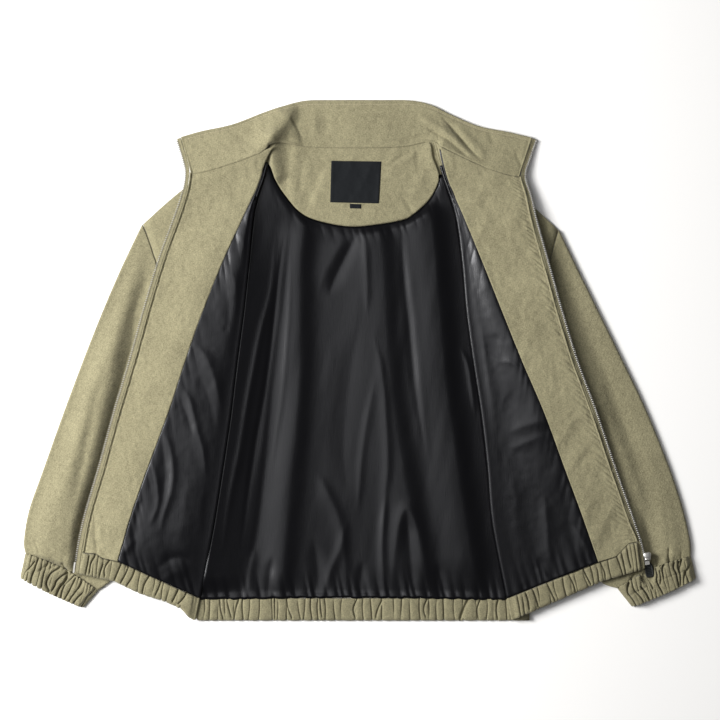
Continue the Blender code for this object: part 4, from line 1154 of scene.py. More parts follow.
def make_neck_facing():
    across, down = grid(100, 45)
    plan = mix(along(NECK_SEAM, across), facing_curve(across), down)
    x, y = plan[..., 0], plan[..., 1]
    height = neck_facing_height(x, y)
    inch = (1 - down) * norm(along(NECK_SEAM, across) - facing_curve(across))
    height += 0.25 * bell(inch, 2.2, 2.5)
    piece = cloth_for("neck_facing", with_height(plan, height), INNER, KHAKI, "facing")
    tab = make_label("size_tab", TAB_CORNERS, 12, 14)


PILED = 9.0  # how high the lining lies against the wearer's right front


def beyond_fold(side, x, y):
    """How far inside the folded edge of a front places lie, negative under the front."""
    folds = column(FRONT_ROWS[side], "fold")[::-1]
    return TOWARDS_MIDDLE[side] * (x - np.interp(y, folds[:, 1], folds[:, 0]))


def open_share(x, y):
    """1 where the lining of the back is in the open, and 0 where it lies flat under the fronts."""
    return smooth_step(np.minimum(beyond_fold("right", x, y) + 1.1, beyond_fold("left", x, y)) + 0.7)


def piled_height(x, y):
    """How far the lining is piled up against the wearer's right front, falling away evenly to its east."""
    down = ramp(y, LINING_TOP[0][1], -190) * ramp(y, HEM_TOP, 30)
    width = 56 + 8 * ramp(y, -40, -200)
    away = held(beyond_fold("right", x, y) / width)
    return PILED * down * (1 - away) ** 1.15 * smooth_step((1 - away) * 5)


def lining_columns(place, y):
    """X of the columns of the lining of the back at heights y of the plan.

    place is 0 to 1 under the wearer's right front, 1 to 2 in the open and 2 to 3 under the left front, with a
    column of points just inside and just outside each folded edge.
    """
    down = (LINING_TOP[0][1] - y) / (LINING_TOP[0][1] - LINING_HEM[0][1])
    west, east = (top[0] + (hem[0] - top[0]) * down for top, hem in zip(LINING_TOP, LINING_HEM))
    fold_west = -beyond_fold("right", np.zeros_like(y), y)
    fold_east = beyond_fold("left", np.zeros_like(y), y)
    knots = (0, 1, 1.005, 1.01, 1.99, 2, 3)
    values = (west, fold_west - 1.8, fold_west - 1.0, fold_west - 0.1, fold_east - 0.3, fold_east + 0.7, east)
    found = values[0]
    for start, end, low, high in zip(knots[:-1], knots[1:], values[:-1], values[1:]):
        found = found + (high - low) * held((place - start) / (end - start))
    return found


def lining_plan(places, rows):
    """Places of the lining of the back between the neck facing and the hem."""
    curve = facing_curve(np.linspace(0, 1, 300), BUTT_GAP + 0.1)
    top = np.full(len(places), 220.0)
    for _ in range(24):
        top += 0.6 * (np.interp(lining_columns(places, top), curve[:, 0], curve[:, 1]) - top)
    y = top + (LINING_HEM[0][1] - top) * rows[:, None]
    return np.stack([lining_columns(np.broadcast_to(places, y.shape), y), y], -1), top


def back_lining_height(x, y, top_y):
    folds = relief(x, y, BACK_LINING_DRAPE, 0.12) + relief(x, y, BACK_LINING_FOLDS)
    folds += BACK_CREASE * relief(x, y, BACK_LINING_FOLDS, narrow=CREASE_WIDTH)
    folds += 0.3 * ripple(x, y, 34, 21, 82, 3.5) + 0.12 * ripple(x, y, 11, 22, 80, 5)
    below = np.maximum(top_y - y, 0)
    seam = gathers(x + 0.35 * y, 23, 6, 17) - 0.5
    folds += 0.9 * seam * bell(below, 15) * smooth_step(below / 3)
    above_hem = np.maximum(y - HEM_TOP, 0)
    hem = gathers(x + 0.2 * y, 24, 7, 20) - 0.5
    folds += 1.5 * hem * bell(above_hem, 22)
    ends = smooth_step(below / 12 + 0.15)
    folds += piled_height(x, y)
    height = BACK_LINING + 0.25 + open_share(x, y) * ends * (1.2 + folds)
    return soft_floor(height, BACK_LINING + 0.15, 0.3)


def make_back_lining():
    in_the_open = np.linspace(1.01, 1.99, 196)
    places = np.concatenate([np.linspace(0, 1, 8), [1.005], in_the_open, np.linspace(2, 3, 8)])
    plan, top = lining_plan(places, np.linspace(0, 1, 151))
    height = back_lining_height(plan[..., 0], plan[..., 1], top[None, :])
    x = plan[..., 0]
    low = smooth_step((HEM_TOP + 9 - plan[..., 1]) / 9)
    lobes = gathers(x, 25, 7, 26)
    plan[..., 1] += (1.4 - 2.8 * lobes + 1.6 * np.cos((x + 10) / 80)) * low
    height += (1.3 + 0.25 * lobes) * low
    piece = cloth_for("back_lining", with_height(plan, height), INNER - 0.1, SATIN, "lining")


def make_label(node, corners, columns, seed):
    """A small bare cloth sewn down along its edges."""
    across, down = grid(columns, columns)
    bottom_left, bottom_right, top_right, top_left = (np.array(corner, float) for corner in corners)
    plan = mix(mix(top_left, top_right, across), mix(bottom_left, bottom_right, across), down)
    x, y = plan[..., 0], plan[..., 1]
    width = np.linalg.norm(bottom_right - bottom_left)
    from_side = np.minimum(across, 1 - across) * width
    from_end = np.minimum(down, 1 - down) * np.linalg.norm(top_left - bottom_left)
    height = neck_facing_height(x, y) + 0.95 + 0.25 * crumple(x, y, 17, seed)
    height += 0.3 * bell(np.minimum(from_side, from_end), 1.6, 2.5)
    return cloth_for(node, with_height(plan, height), LABEL, LABEL_CLOTH, "label")


# ---------------------------------------------------------------- fronts

FRONT_LENGTH = 500.0  # how long a front is from the collar to its band, near enough
CREASE = 0.24  # how high a sharp crest each fold of a front's lining carries, against its own rise
BACK_CREASE = 0.15  # the same in the lining of the back
CREASE_WIDTH = 0.34  # how wide that is, against its own width
BILLOW = {"right": 4.5, "left": 1.5}  # how far each front stands up along the facing's seam
BILLOW_BEND = {"right": 1.3, "left": 3.0}  # how flat it stays beside the fold
NOTCH_RISE = {"right": 6.0, "left": 1.5}  # how much more it stands up at the neck
NOTCH_LAP = {"right": 13.0, "left": 0.0}  # how far its facing laps over the neck's there
FOLD_LIFT = {"right": 5.4, "left": 0.0}  # how far the folded edge stands up off the lining of the back


def fold_lift(side, across, share):
    """How far a front is raised along its folded edge, above the fold and in it."""
    ends = ramp(share, 0.04, 0.3) * ramp(share, 1, -0.1)
    return FOLD_LIFT[side] * ends * ramp(across, 1.0, 0.9) * ramp(across, 3.9, -0.8)


def front_relief(side, plan, across, share):
    """Creases of a front, the same in its shell and in what is sewn to it."""
    x, y = plan[..., 0], plan[..., 1]
    folds = relief(x, y, FACING_FOLDS[side]) + 0.78 * relief(x, y, FRONT_LINING_FOLDS[side])
    folds += CREASE * relief(x, y, FRONT_LINING_FOLDS[side], narrow=CREASE_WIDTH)
    folds += 0.5 * ripple(x, y, 46, 31, 70 if side == "left" else 110, 2.5)
    calm = ramp(across, 2, -0.22) * smooth_step(share / 0.02)
    billow = BILLOW[side] + along(column(FRONT_ROWS[side], "lift"), share)
    begins = 0.0 if side == "right" else 0.1
    billow = billow * hump(across, 2) ** BILLOW_BEND[side] * ramp(share, begins, 0.4 - begins)
    beside_fold = ramp(across, 2, -0.3)
    billow += NOTCH_RISE[side] * (1 - smooth_step(share / 0.11)) * hump(across, 2) ** 2
    return billow + beside_fold * soft_floor(0.5 + folds * calm, -0.55, 0.4)


def make_front_shell(side):
    columns = stretches((0, 2, 37), (2, 3, 9), (3, 4, 17))
    across, share = np.meshgrid(columns, np.linspace(0, 1, 181))
    points = front_point(side, across, share)
    points[..., 2] += np.where(across < 2, front_relief(side, points[..., :2], across, share), 0)
    points[..., 2] += fold_lift(side, across, share)
    piece = cloth_for(f"front_shell_{side}", points, SHELL - 0.1, KHAKI, "shell", up=TOWARDS_MIDDLE[side])


STITCHED_IN = 2.7  # how far inside a facing's edge its row of stitching runs


def zip_edge_relief(side, distance, run):
    """The sewn edge beside the zip tape, at distances from it and places along it.

    On the right it is a bulky edge that steps down to the facing, and on the left a hollow with gathers
    beside it.
    """
    pucker = gathers(run + 0.4 * distance, 41 if side == "right" else 42, 4.2, 8.0) - 0.55
    if side == "right":
        edge = distance - 1.2 * pucker
        step = 1.7 * (1 - ramp(edge, 1.4, 1.2)) + 0.7 * (1 - smooth_step(distance / 11))
        return step - 1.2 * bell(edge, 1.3, STITCHED_IN + 0.4) + 0.3 * pucker * bell(distance, 5, 7)
    hollow = -0.5 * bell(distance, 3.0, 4.8) - 0.6 * bell(distance, 0.8, STITCHED_IN)
    welt = (0.4 + 0.3 * pucker) * bell(distance, 1.2)
    patchy = np.clip(0.75 + 0.7 * ripple(run, distance * 0.2, 45, 49), 0.2, 1.3)
    drawn = gathers(run + 0.9 * distance, 46, 5.0, 13.0) - 0.55
    return welt + hollow + 1.9 * drawn * patchy * bell(distance, 9, 7)


def lining_edge_relief(side, distance, run):
    """Small puckers where the lining is sewn to the facing."""
    pucker = gathers(run - 1.4 * distance, 43 if side == "right" else 44, 7, 24) - 0.5
    patchy = 0.6 + 0.6 * ripple(run, distance * 0.3, 60, 40)
    tucked = -0.25 * bell(distance, 3.0)
    patchy = patchy * (0.3 + 0.7 * ramp(run, 70, 110))
    return tucked + 1.1 * pucker * patchy * bell(distance, 15) * smooth_step(distance / 2.5)


def band_top_shift(side, x):
    """How far up the seam between a front and its hem band is drawn near the zip."""
    return np.interp(x, *zip(*BAND_TOP_SHIFT[side]))


def facing_surface(side, across, share):
    """Points on the middle of a front facing, with its creases and its sewn edges."""
    points = front_point(side, across, share, SKIN_STEP)
    points[..., 1] += band_top_shift(side, points[..., 0]) * ramp(share, 0.9, 0.1)
    lap = NOTCH_LAP[side] * held(1 - share / 0.085) ** 1.3 * ramp(across, 0.2, 0.8)
    points[..., 0] += TOWARDS_MIDDLE[side] * lap
    edge, facing = front_rows_at(side, share)[:2]
    width = norm(facing - edge)
    run = share * FRONT_LENGTH
    x, y = points[..., 0], points[..., 1]
    height = front_relief(side, points[..., :2], across, share)
    height += zip_edge_relief(side, across * width, run)
    height += 0.3 * lining_edge_relief(side, (1 - across) * width, run)
    washed = 0.6 * crumple(x, y, 26, 45, 60, 1.6) + 0.36 * crumple(x, y, 12, 48, 100)
    height += (washed + 0.12 * crumple(x, y, 7, 46)) * (1.3 if side == "right" else 1.7)
    height += 0.5 * bell((1 - across) * width, 1.2)
    if side == "left":
        height -= 1.9 * bell(run, 1.7, 3.2)
    points[..., 2] += height
    return points


def make_zip_stitches(side):
    """The row of stitching along a facing beside the zip."""
    share = np.linspace(0.02, 0.985, 700)
    edge, facing = front_rows_at(side, share)[:2]
    across = STITCHED_IN / norm(facing - edge)
    route = facing_surface(side, across, share)
    route[:, 2] += INNER / 2 + (0.6 if side == "right" else 0.1)
    if side == "right":
        beads = stitches(route, math.radians(38))
        joined("zip_beads_right", rounded_block((3.0, 1.5, 1.3), 0.45, 1), beads, KHAKI)
    else:
        stitch_row("zip_stitches_left", route)


def make_front_facing(side):
    across, share = np.meshgrid(stretches((0, 0.14, 19), (0.14, 1, 33)), np.linspace(0, 1, 381))
    points = facing_surface(side, across, share)
    piece = cloth_for(f"front_facing_{side}", points, INNER, KHAKI, "facing", up=TOWARDS_MIDDLE[side])
    on_it = [make_tape(side), make_teeth(side)]
    make_zip_stitches(side)


LINING_STARTS = {"right": 0.075, "left": 0.085}  # how far down a front its lining starts
LINING_CORNER = {"right": 0.0, "left": 0.06}  # how much higher it starts at the facing's seam
TUCKED_UNDER = 0.3  # how far under its facing's edge it starts


def make_front_lining(side):
    columns = stretches((1, 2, 54), (2, 3, 9), (3, 3.5, 5))
    across, share = np.meshgrid(columns, np.linspace(0, 1, 241))
    start = LINING_STARTS[side] - LINING_CORNER[side] * (1 - ramp(across, 1.35, 0.5))
    share = start + (1 - start) * share
    edge, facing, turn = front_rows_at(side, share)[:3]
    width = norm(turn - facing)
    across = across - TUCKED_UNDER / np.maximum(width, 12) * np.clip(1.5 - across, 0, 0.5) * 2
    across = np.maximum(across, 1 - TUCKED_UNDER / norm(facing - edge))
    points = front_point(side, across, share, SKIN_STEP)
    x, y = points[..., 0], points[..., 1]
    height = front_relief(side, points[..., :2], across, share)
    height += lining_edge_relief(side, (across - 1) * width, share * FRONT_LENGTH) * ramp(width, 3, 18)
    height += (0.2 * ripple(x, y, 16, 47, 100, 3) + 0.1 * ripple(x, y, 7, 48)) * ramp(across, 2, -0.2)
    hem = gathers(x + 0.3 * y, 49 if side == "right" else 50, 7, 18) - 0.5
    above_hem = np.maximum((1 - share) * FRONT_LENGTH, 0)
    height += 1.4 * hem * bell(above_hem, 20) * ramp(across, 2, -0.1)
    points[..., 2] += np.where(across < 2, height, 0) + fold_lift(side, across, share)
    piece = cloth_for(f"front_lining_{side}", points, INNER - 0.1, SATIN, "lining", up=TOWARDS_MIDDLE[side])


# ---------------------------------------------------------------- sleeves and cuffs

SLEEVE_LENGTH = 400.0  # near enough
CUFF_SPACE = 1.4  # between a cuff's two walls
CUFF_START = 0.012  # how far down from the sleeve's end its cuff starts, as a share of the cuff


def sleeve_section(side, share):
    """The two edges of a sleeve and its bow, from the armhole to the cuff."""
    seam = SIDE_SEAMS[side]
    clear = np.array([-TOWARDS_MIDDLE[side] * BUTT_GAP, 0])
    first = SleeveRow(seam.armhole_top + clear, seam.underarm + clear, 0)
    rows = [first, *SLEEVE_ROWS[side]]
    return [along(column(rows, name), share) for name in ("outer", "inner", "bow")]


# The slope of each sleeve beside the zip at heights y of the plan: its level at the zip, its lowest level,
# the level it swells to, and how far from the zip it has fallen and swelled.
Beside = namedtuple("Beside", "y at_zip lowest swelled fallen far")
BESIDE_ZIP = {
    "right": [
        Beside(-270, -3.4, -3.4, 6.5, -2, 10),
        Beside(-228, -3.4, -3.4, 8.0, 0, 13),
        Beside(-175, -3.4, -3.4, 10.0, 0, 16),
        Beside(-105, -3.4, -3.4, 10.5, 0, 18),
        Beside(-34, -3.4, -3.4, 11.5, 0, 23),
        Beside(33, -3.4, -3.4, 12.0, 1, 30),
        Beside(100, -2.0, -3.2, 10.5, 4, 33),
        Beside(170, 0.0, -0.5, 3.0, 0, 34),
    ],
    "left": [
        Beside(-270, 1.0, -3.2, 2.5, 10, 40),
        Beside(-228, 3.0, -3.2, 2.5, 14, 44),
        Beside(-175, 4.0, -3.2, 1.5, 30, 64),
        Beside(-105, 5.4, -3.2, 1.0, 30, 68),
        Beside(-34, 7.0, -3.4, 0.5, 34, 74),
        Beside(33, 7.0, -3.4, -1.0, 38, 78),
        Beside(100, 5.0, -3.4, -2.5, 32, 74),
        Beside(170, 3.0, -3.4, -3.0, 30, 74),
    ],
}


def beyond_zip(side, x, y):
    """How far outside the free edge of the zip places lie, negative under the front."""
    edges = ZIP_ROWS[side][0][:11]
    return TOWARDS_MIDDLE[side] * (np.interp(y, edges[:, 1], edges[:, 0]) - x)


def slope_beside_zip(side, x, y):
    """How far a sleeve lies above its usual level near the zip."""
    rows = BESIDE_ZIP[side]
    heights = column(rows, "y")
    at_zip, lowest, swelled, fallen, far = (
        np.interp(y, heights, column(rows, name)) for name in Beside._fields[1:]
    )
    away = beyond_zip(side, x, y)
    falling = at_zip + (lowest - at_zip) * smooth_step(away / np.maximum(fallen, 1))
    falling *= ramp(away, -30, 25)
    rising = held((away - fallen) / (far - fallen))
    at_once = ramp(y, 80, -100) if side == "right" else 0
    risen = mix(smooth_step(rising)[..., None], np.sin(np.pi / 2 * rising)[..., None], at_once)[..., 0]
    return falling + (swelled - lowest) * risen


def make_sleeve(side):
    around, share = np.meshgrid(around_ring(112, 5, 24), np.linspace(0, 1, 121))
    outer, inner, bow = sleeve_section(side, share)
    points = ring_point(outer, inner, bow, around, FLOOR_SHELL, UNDER_SHELL)
    down = down_ring(around)
    armhole = SIDE_SEAMS[side].bow * hump(down**0.8)
    points[..., 0] += TOWARDS_MIDDLE[side] * armhole * np.maximum(0, 1 - 8 * share)
    x, y = points[..., 0], points[..., 1]
    folds = relief(x, y, SLEEVE_FOLDS[side]) + relief(x, y, CUFF_GATHERS[side], 0.2)
    folds += 0.5 * ripple(x, y, 60, 51, 62 if side == "left" else 118, 2.5)
    folds += 0.5 * crumple(x, y, 30, 52, 60, 1.6) + 0.24 * crumple(x, y, 13, 53)
    beside_cuff = bell((1 - share) * SLEEVE_LENGTH, 26)
    gathered = gathers((y * 0.5 - x * TOWARDS_MIDDLE[side]) + 0.2 * y, 54, 6, 15) - 0.5
    folds += 1.3 * gathered * beside_cuff
    calm = smooth_step(4 * down) * smooth_step(4 - 4 * down)
    folds += slope_beside_zip(side, x, y) * smooth_step(share / 0.1) * ramp(share, 1.0, -0.08)
    upper = soft_floor(0.9 + folds, -3.2, 0.3) * calm
    lower = 0.25 * np.maximum(folds, 0) * calm
    points[..., 2] += np.where(around <= 1, upper, np.where((around > 2) & (around < 3), lower, 0))
    turned = {"grain": -62 * TOWARDS_MIDDLE[side], "wrap": True, "up": TOWARDS_MIDDLE[side]}
    piece = cloth_for(f"sleeve_{side}", points, SHELL - 0.1, KHAKI_SLEEVE_PAINTED_SHADE, "shell", **turned)


def make_cuff(side):
    around, share = np.meshgrid(around_ring(196, 5, 36), np.linspace(0, 1, 27))
    top = SLEEVE_ROWS[side][-1]
    edge = CUFF_EDGE[side]
    low = CUFF / 2
    high = low + CUFF + CUFF_SPACE
    drawn = CUFF_START + (1 - CUFF_START) * share
    outer = mix(np.array(top.outer), np.array(edge.outer), drawn)
    inner = mix(np.array(top.inner), np.array(edge.inner), drawn)
    bow = top.bow + (edge.bow - top.bow) * drawn
    points = ring_point(outer, inner, bow, around, low, high)
    down = down_ring(around)
    width = norm(inner - outer)
    pleats = panels(down * width, share, 61 if side == "right" else 62, 4.0, 8.0, 1.2)
    calm = smooth_step(12 * down + 0.2) * smooth_step(12 - 12 * down + 0.2)
    x, y = points[..., 0], points[..., 1]
    pleats = calmed(pleats, x, y, CUFF_FOLDS[side]) - 0.4 * bell(share, 0.035, 0.5)
    drawn_in = 1.6 * relief(x, y, CUFF_FOLDS[side], 0.1, 0.8) + relief(x, y, CUFF_GATHERS[side], 0.2)
    drawn_in += 0.4 * crumple(x, y, 9, 63, 0, 1.0)
    upper = soft_floor(3.3 * pleats + drawn_in + 3.0, -0.6, 0.4)
    if side == "left":
        upper = np.minimum(upper, 0.4 + 6 * smooth_step((from_tab(x, y) - 5.5) / 7))
    puffed = unit(np.subtract(edge.outer, top.outer)) * (pleats - 0.6)[..., None]
    points[..., :2] += puffed * (2.2 * ramp(share, 0.8, 0.2) * (around <= 1))[..., None]
    points[..., :2] -= puffed * (2.6 * ramp(share, 0.2, -0.2) * (around <= 1))[..., None]
    points[..., 2] += np.where(around <= 1, upper * calm, 0)
    points[..., 2] += np.where((around > 2) & (around < 3), 0.7 * pleats * calm, 0)
    turned = {"wrap": True, "up": TOWARDS_MIDDLE[side]}
    piece = cloth_for(f"cuff_{side}", points, CUFF - 0.5, KHAKI_BAND_PAINTED_SHADE, "ribbed_edge", **turned)


TAB_ROUTE = [(393, -266), (390.5, -292)]  # where the pull's tab lies over the left cuff


def from_tab(x, y):
    """How far places lie from the middle line of the pull's tab."""
    start, end = np.array(TAB_ROUTE)
    place = np.stack([x, y], -1)
    run = end - start
    t = held((place - start) @ run / (run @ run))
    return norm(place - start - t[..., None] * run)


def calmed(pleats, x, y, folds):
    """Pleats that die away beside the creases placed by hand, so that the two do not cross."""
    beside = held(-relief(x, y, folds, 0.1, 2.4) / 2.6)
    return pleats + (0.95 - pleats) * beside


# ---------------------------------------------------------------- hem bands

BAND_START = 0.03  # how far down from a front's end its band starts, as a share of the band
RAISED_CORNER = 12.0  # how much higher the hem's lower edge lies at the wearer's right side seam
BAND_LENGTHS = (62.0, 122.0)  # how long a front's band is under its facing and beyond it


def firm_edges(share):
    """How high a band's pleats stand at shares of the way down it, lower along its two sewn edges."""
    return 0.45 + 0.55 * (smooth_step(share / 0.08) * ramp(share, 1, -0.12))


def make_back_band():
    across, share = grid(660, 22)
    half_width = SIDE_SEAMS["left"].hem[0]
    x = (2 * across - 1) * half_width
    y = (HEM_TOP - BUTT_GAP) + (HEM_BOTTOM - HEM_TOP + BUTT_GAP) * share
    pleats = calmed(panels(x, share, 71, 6.0, 17.0, 2.4), x, y, BAND_FOLDS["back"])
    ends = smooth_step(np.minimum(across, 1 - across) * 60)
    folds = 3.8 * pleats - 0.4 + 1.5 * relief(x, y, BAND_FOLDS["back"], 0.1, 0.8) + 0.3 * crumple(x, y, 9, 74)
    height = BAND / 2 + 0.1 + soft_floor(folds, -0.2, 0.3) * ends * firm_edges(share)
    y = y - 1.6 * (pleats - 0.7) * ramp(share, 0.8, 0.2) * ends
    y = y + RAISED_CORNER * ramp(x, -213, -20) * share
    piece = cloth_for("hem_band_back", np.stack([x, y, height], -1), 1.6, KHAKI_BAND_PAINTED_SHADE, "ribbed_edge")


def band_lines(side, share):
    """The edge, facing edge and fold of a front's hem band in plan, and the way its fold bulges."""
    upper, lower = FRONT_ROWS[side][-1], BAND_BOTTOM_ROW[side]
    drawn = BAND_START + (1 - BAND_START) * share
    zip_edge, facing, fold = (
        mix(np.array(getattr(upper, name)), np.array(getattr(lower, name)), drawn)
        for name in ("zip", "facing", "fold")
    )
    edge = zip_edge + unit(facing - zip_edge) * (ZIP_STRIP + BUTT_GAP)
    inward = left_of(unit(np.subtract(lower.fold, upper.fold))) * TOWARDS_MIDDLE[side]
    return edge, facing, fold - inward * (BAND_RADIUS + BAND / 2), inward


def band_relief(side, x, y, run, share):
    """How far the upper side of a front's band is raised, and how far it is puffed out downwards."""
    place = held(run) * BAND_LENGTHS[0] + held(run - 1) * BAND_LENGTHS[1]
    pleats = panels(place, share, 72 if side == "right" else 73, 6.0, 15.0, 1.8)
    pleats = calmed(pleats, x, y, BAND_FOLDS[side])
    folds = soft_floor(3.0 * pleats + 1.5 * relief(x, y, BAND_FOLDS[side], 0.1, 0.8) + 1.2, -0.4, 0.3)
    raised = folds * smooth_step((2 - run) * 12) * smooth_step(run * 20 + 0.2) * firm_edges(share)
    puffed = 1.6 * (pleats - 0.7) * ramp(share, 0.8, 0.2)
    if side == "right":
        puffed = puffed - 6.5 * share * ramp(x, -300, 50) * ramp(x, -226, -12)
    return raised, puffed


def make_front_band(side):
    columns = np.append(stretches((0, 2, 281), (2, 3, 9)), 4.0)
    run, share = np.meshgrid(columns, np.linspace(0, 1, 23))
    edge, facing, turn, inward = band_lines(side, share)
    on_facing = mix(edge, facing, held(run))
    on_top = choose(run > 1, mix(facing, turn, held(run - 1)), on_facing)
    raised, puffed = band_relief(side, on_top[..., 0], on_top[..., 1], run, share)
    lift = FRONT_ROWS[side][-1].lift * (1 - smooth_step(run / 1.6))
    on_top[..., 1] += band_top_shift(side, on_top[..., 0]) * (1 - share) ** 2 * (run < 1) - puffed
    above = with_height(on_top, BAND_OVER - 0.3 + lift + raised)
    angle = np.pi * held(run - 2)
    turned = turn + inward * (BAND_RADIUS * np.sin(angle))[..., None]
    turned = with_height(turned, BAND_UNDER + BAND_RADIUS + BAND_RADIUS * np.cos(angle))
    drop = HEM_BOTTOM - HEM_TOP + BUTT_GAP + (RAISED_CORNER if side == "right" else 0)
    seam_x = np.full_like(run, SIDE_SEAMS[side].hem[0])
    under = np.stack([seam_x, (HEM_TOP - BUTT_GAP) + drop * share, np.full_like(run, BAND_UNDER)], -1)
    points = choose(run > 3, under, choose(run <= 2, above, turned))
    up = TOWARDS_MIDDLE[side]
    piece = cloth_for(f"hem_band_{side}", points, BAND - 1.0, KHAKI_BAND_PAINTED_SHADE, "ribbed_edge", up=up)


# ---------------------------------------------------------------- collar


def neckline():
    """The facings' top edges from the right zip round the neck to the left one, as a dense row of points."""
    share = np.zeros(80)
    across = np.linspace(0, 1, 80)
    neck = along(NECK_SEAM, across)
    neck = with_height(neck, neck_facing_height(neck[:, 0], neck[:, 1]))[2:-2]
    right = facing_surface("right", across, share)
    left = facing_surface("left", across, share)[::-1]
    return np.concatenate([right, neck, left])


SEAM_LAP = 1.3  # how far the collar laps over the facings
COLLAR_LENGTH = 480.0
COLLAR_HEIGHT = 55.0


def smoothed_row(row, reach):
    """A row of points, each moved to the middle of its neighbours over a number of places."""
    places = np.arange(len(row))
    around = places[:, None] + reach * (np.linspace(0, 1, 9) - 0.5)
    return np.stack([np.interp(around, places, row[:, axis]) for axis in range(3)], -1).mean(axis=1)


def collar_on_facings(across, down):
    """Points of the collar's inside, with its lower edge lapped over the facings."""
    points = collar_point(across, down)
    points[..., 2] += SKIN_STEP + 0.3
    line = neckline()
    seam = points[-1]
    apart = np.hypot(seam[:, None, 0] - line[None, :, 0], seam[:, None, 1] - line[None, :, 1])
    nearest = line[apart.argmin(axis=1)]
    away = unit(seam[:, :2] - points[0, :, :2])
    target = np.concatenate([nearest[:, :2] + away * SEAM_LAP, nearest[:, 2:] + 1.15], axis=1)
    points += (smoothed_row(target, 6) - seam)[None] * (down**2.2)[..., None]
    return points


def collar_inside_relief(x, across, down):
    """A swelling beside the right notch and a hem stitched round the edge, on the collar's inside."""
    from_top = down * COLLAR_HEIGHT
    from_end = np.minimum(across, 1 - across) * COLLAR_LENGTH
    from_edge = np.minimum(from_top, from_end)
    pucker = gathers(across * COLLAR_LENGTH + 0.5 * from_top, 83, 4, 9) - 0.5
    height = 4.5 * ramp(x, -130, 12) * ramp(x, -72, -18) * ramp(down, 0.5, 0.45)
    height += 0.35 * bell(from_edge, 1.6, 1.8) - 0.8 * bell(from_edge, 1.2, 5.0)
    return height + 0.25 * pucker * bell(from_top, 5.0, 5)


def creased_collar(points, down, lowest):
    """Points of one of the collar's two cloths, with the creases that both have."""
    x, y = points[..., 0], points[..., 1]
    folds = 1.4 * relief(x, y, COLLAR_FOLDS)
    folds += 0.55 * crumple(x, y, 30, 81, 20, 1.6) + 0.28 * crumple(x, y, 12, 82)
    folds *= ramp(down, 1, -0.08)
    return with_height(points[..., :2], soft_floor(points[..., 2] + 0.3 + folds, lowest, 0.3))


def make_collar():
    across, down = grid(120, 20)
    points = creased_collar(collar_point(across, down), down, FLOOR_SHELL)
    piece = cloth_for("collar_outer", points, SHELL - 0.1, KHAKI, "shell")
    across, down = grid(240, 36)
    points = creased_collar(collar_on_facings(across, down), down, FLOOR_SHELL + SKIN_STEP)
    points[..., 2] += collar_inside_relief(points[..., 0], across, down)
    piece = cloth_for("collar_inner", points, INNER, KHAKI, "facing")
    route = mix(points[3], points[4], 0.27)[3:-3]
    route[:, 2] += INNER / 2 + 0.1
    stitch_row("collar_stitches", route)


# ---------------------------------------------------------------- zip


def make_tape(side):
    reach, share = np.meshgrid(np.linspace(TEETH_WIDTH + LAID_GAP, ZIP_STRIP, 11), np.linspace(1, 0, 261))
    points = zip_point(side, share, reach)
    ribs = 0.1 * np.cos((reach - TEETH_WIDTH) * 2 * np.pi / 1.3)
    beside_teeth = 1.1 * bell(reach - TEETH_WIDTH - LAID_GAP, 0.9)
    beside_welt = (1.0 if side == "right" else 0.3) * ramp(reach, 5.5, 2.5)
    seam = (0.0 if side == "right" else -0.9) * bell(reach, 0.5, 5.6)
    uneven = 0.12 * ripple(share * 640, reach * 0.2, 9, 91)
    points[..., 2] += ribs - beside_teeth + beside_welt + uneven + 0.35 + seam
    up = TOWARDS_MIDDLE[side]
    return cloth_for(f"zip_tape_{side}", points, TAPE_THICKNESS - 0.2, TAPE, "zip_tape", up=up)


TOOTH_PITCH = 2.7
FIRST_TOOTH = 16.5  # how far up the zip its lowest tooth sits
TOOTH_SHIFT = 0.7  # how far inward from the free edge the teeth sit
TOOTH_TILT = {"right": math.radians(9), "left": math.radians(-18)}  # how far the free edges are turned over


def tooth_template():
    """One tooth: a block gripping the tape's cord, with a narrower head at the free edge."""
    shape = rounded_block((1.9, 1.5, TEETH_THICKNESS - 0.2), 0.25, 1)
    bmesh.ops.translate(shape, verts=shape.verts[:], vec=(2.0, 0, 0))
    head = rounded_block((1.5, 1.0, TEETH_THICKNESS - 0.8), 0.3, 1)
    bmesh.ops.translate(head, verts=head.verts[:], vec=(0.75, 0, 0))
    part = bpy.data.meshes.new("tooth_head")
    head.to_mesh(part)
    head.free()
    shape.from_mesh(part)
    bpy.data.meshes.remove(part)
    return shape


def zip_turn(side, share):
    """A turn with its X axis inward from the free edge and its Y axis along the zip."""
    place = zip_place(side, share)
    ahead = min(share + 0.004, 1.0)
    run = Vector(zip_place(side, ahead) - zip_place(side, ahead - 0.008)).normalized()
    x_axis = Vector(zip_place(side, share, 1.0) - place).normalized()
    z_axis = x_axis.cross(run).normalized()
    y_axis = z_axis.cross(x_axis)
    return Matrix.Translation(place) @ Matrix((x_axis, y_axis, z_axis)).transposed().to_4x4()


def make_teeth(side):
    shares = np.linspace(0, 1, 600)
    distances = travelled(zip_point(side, shares, np.zeros(600)))
    places = np.arange(FIRST_TOOTH, distances[-1] - 1.5, TOOTH_PITCH)
    seat = Matrix.Translation((TOOTH_SHIFT, 0, 0.3 * TOWARDS_MIDDLE[side]))
    seat = seat @ Matrix.Rotation(TOOTH_TILT[side], 4, "Y")
    matrices = [zip_turn(side, float(np.interp(place, distances, shares))) @ seat for place in places]
    nodes = [f"zip_teeth_{side}"]
    return joined(f"zip_teeth_{side}_row", tooth_template(), matrices, NICKEL, stands_for=nodes)


SLIDER_SHARE = 0.044  # how far up the zip the slider sits
SLIDER_OFFSET = 1.6
PLATE_LEVEL = 2.1  # how far behind its middle the slider's back lies
HINGE_DROP = 3.9  # how far in front of it the pull's hinge lies
PULL_TILT = math.radians(3.9)
TAB_START = 9.2  # how far from the hinge the tab starts and ends
TAB_END = 29.0


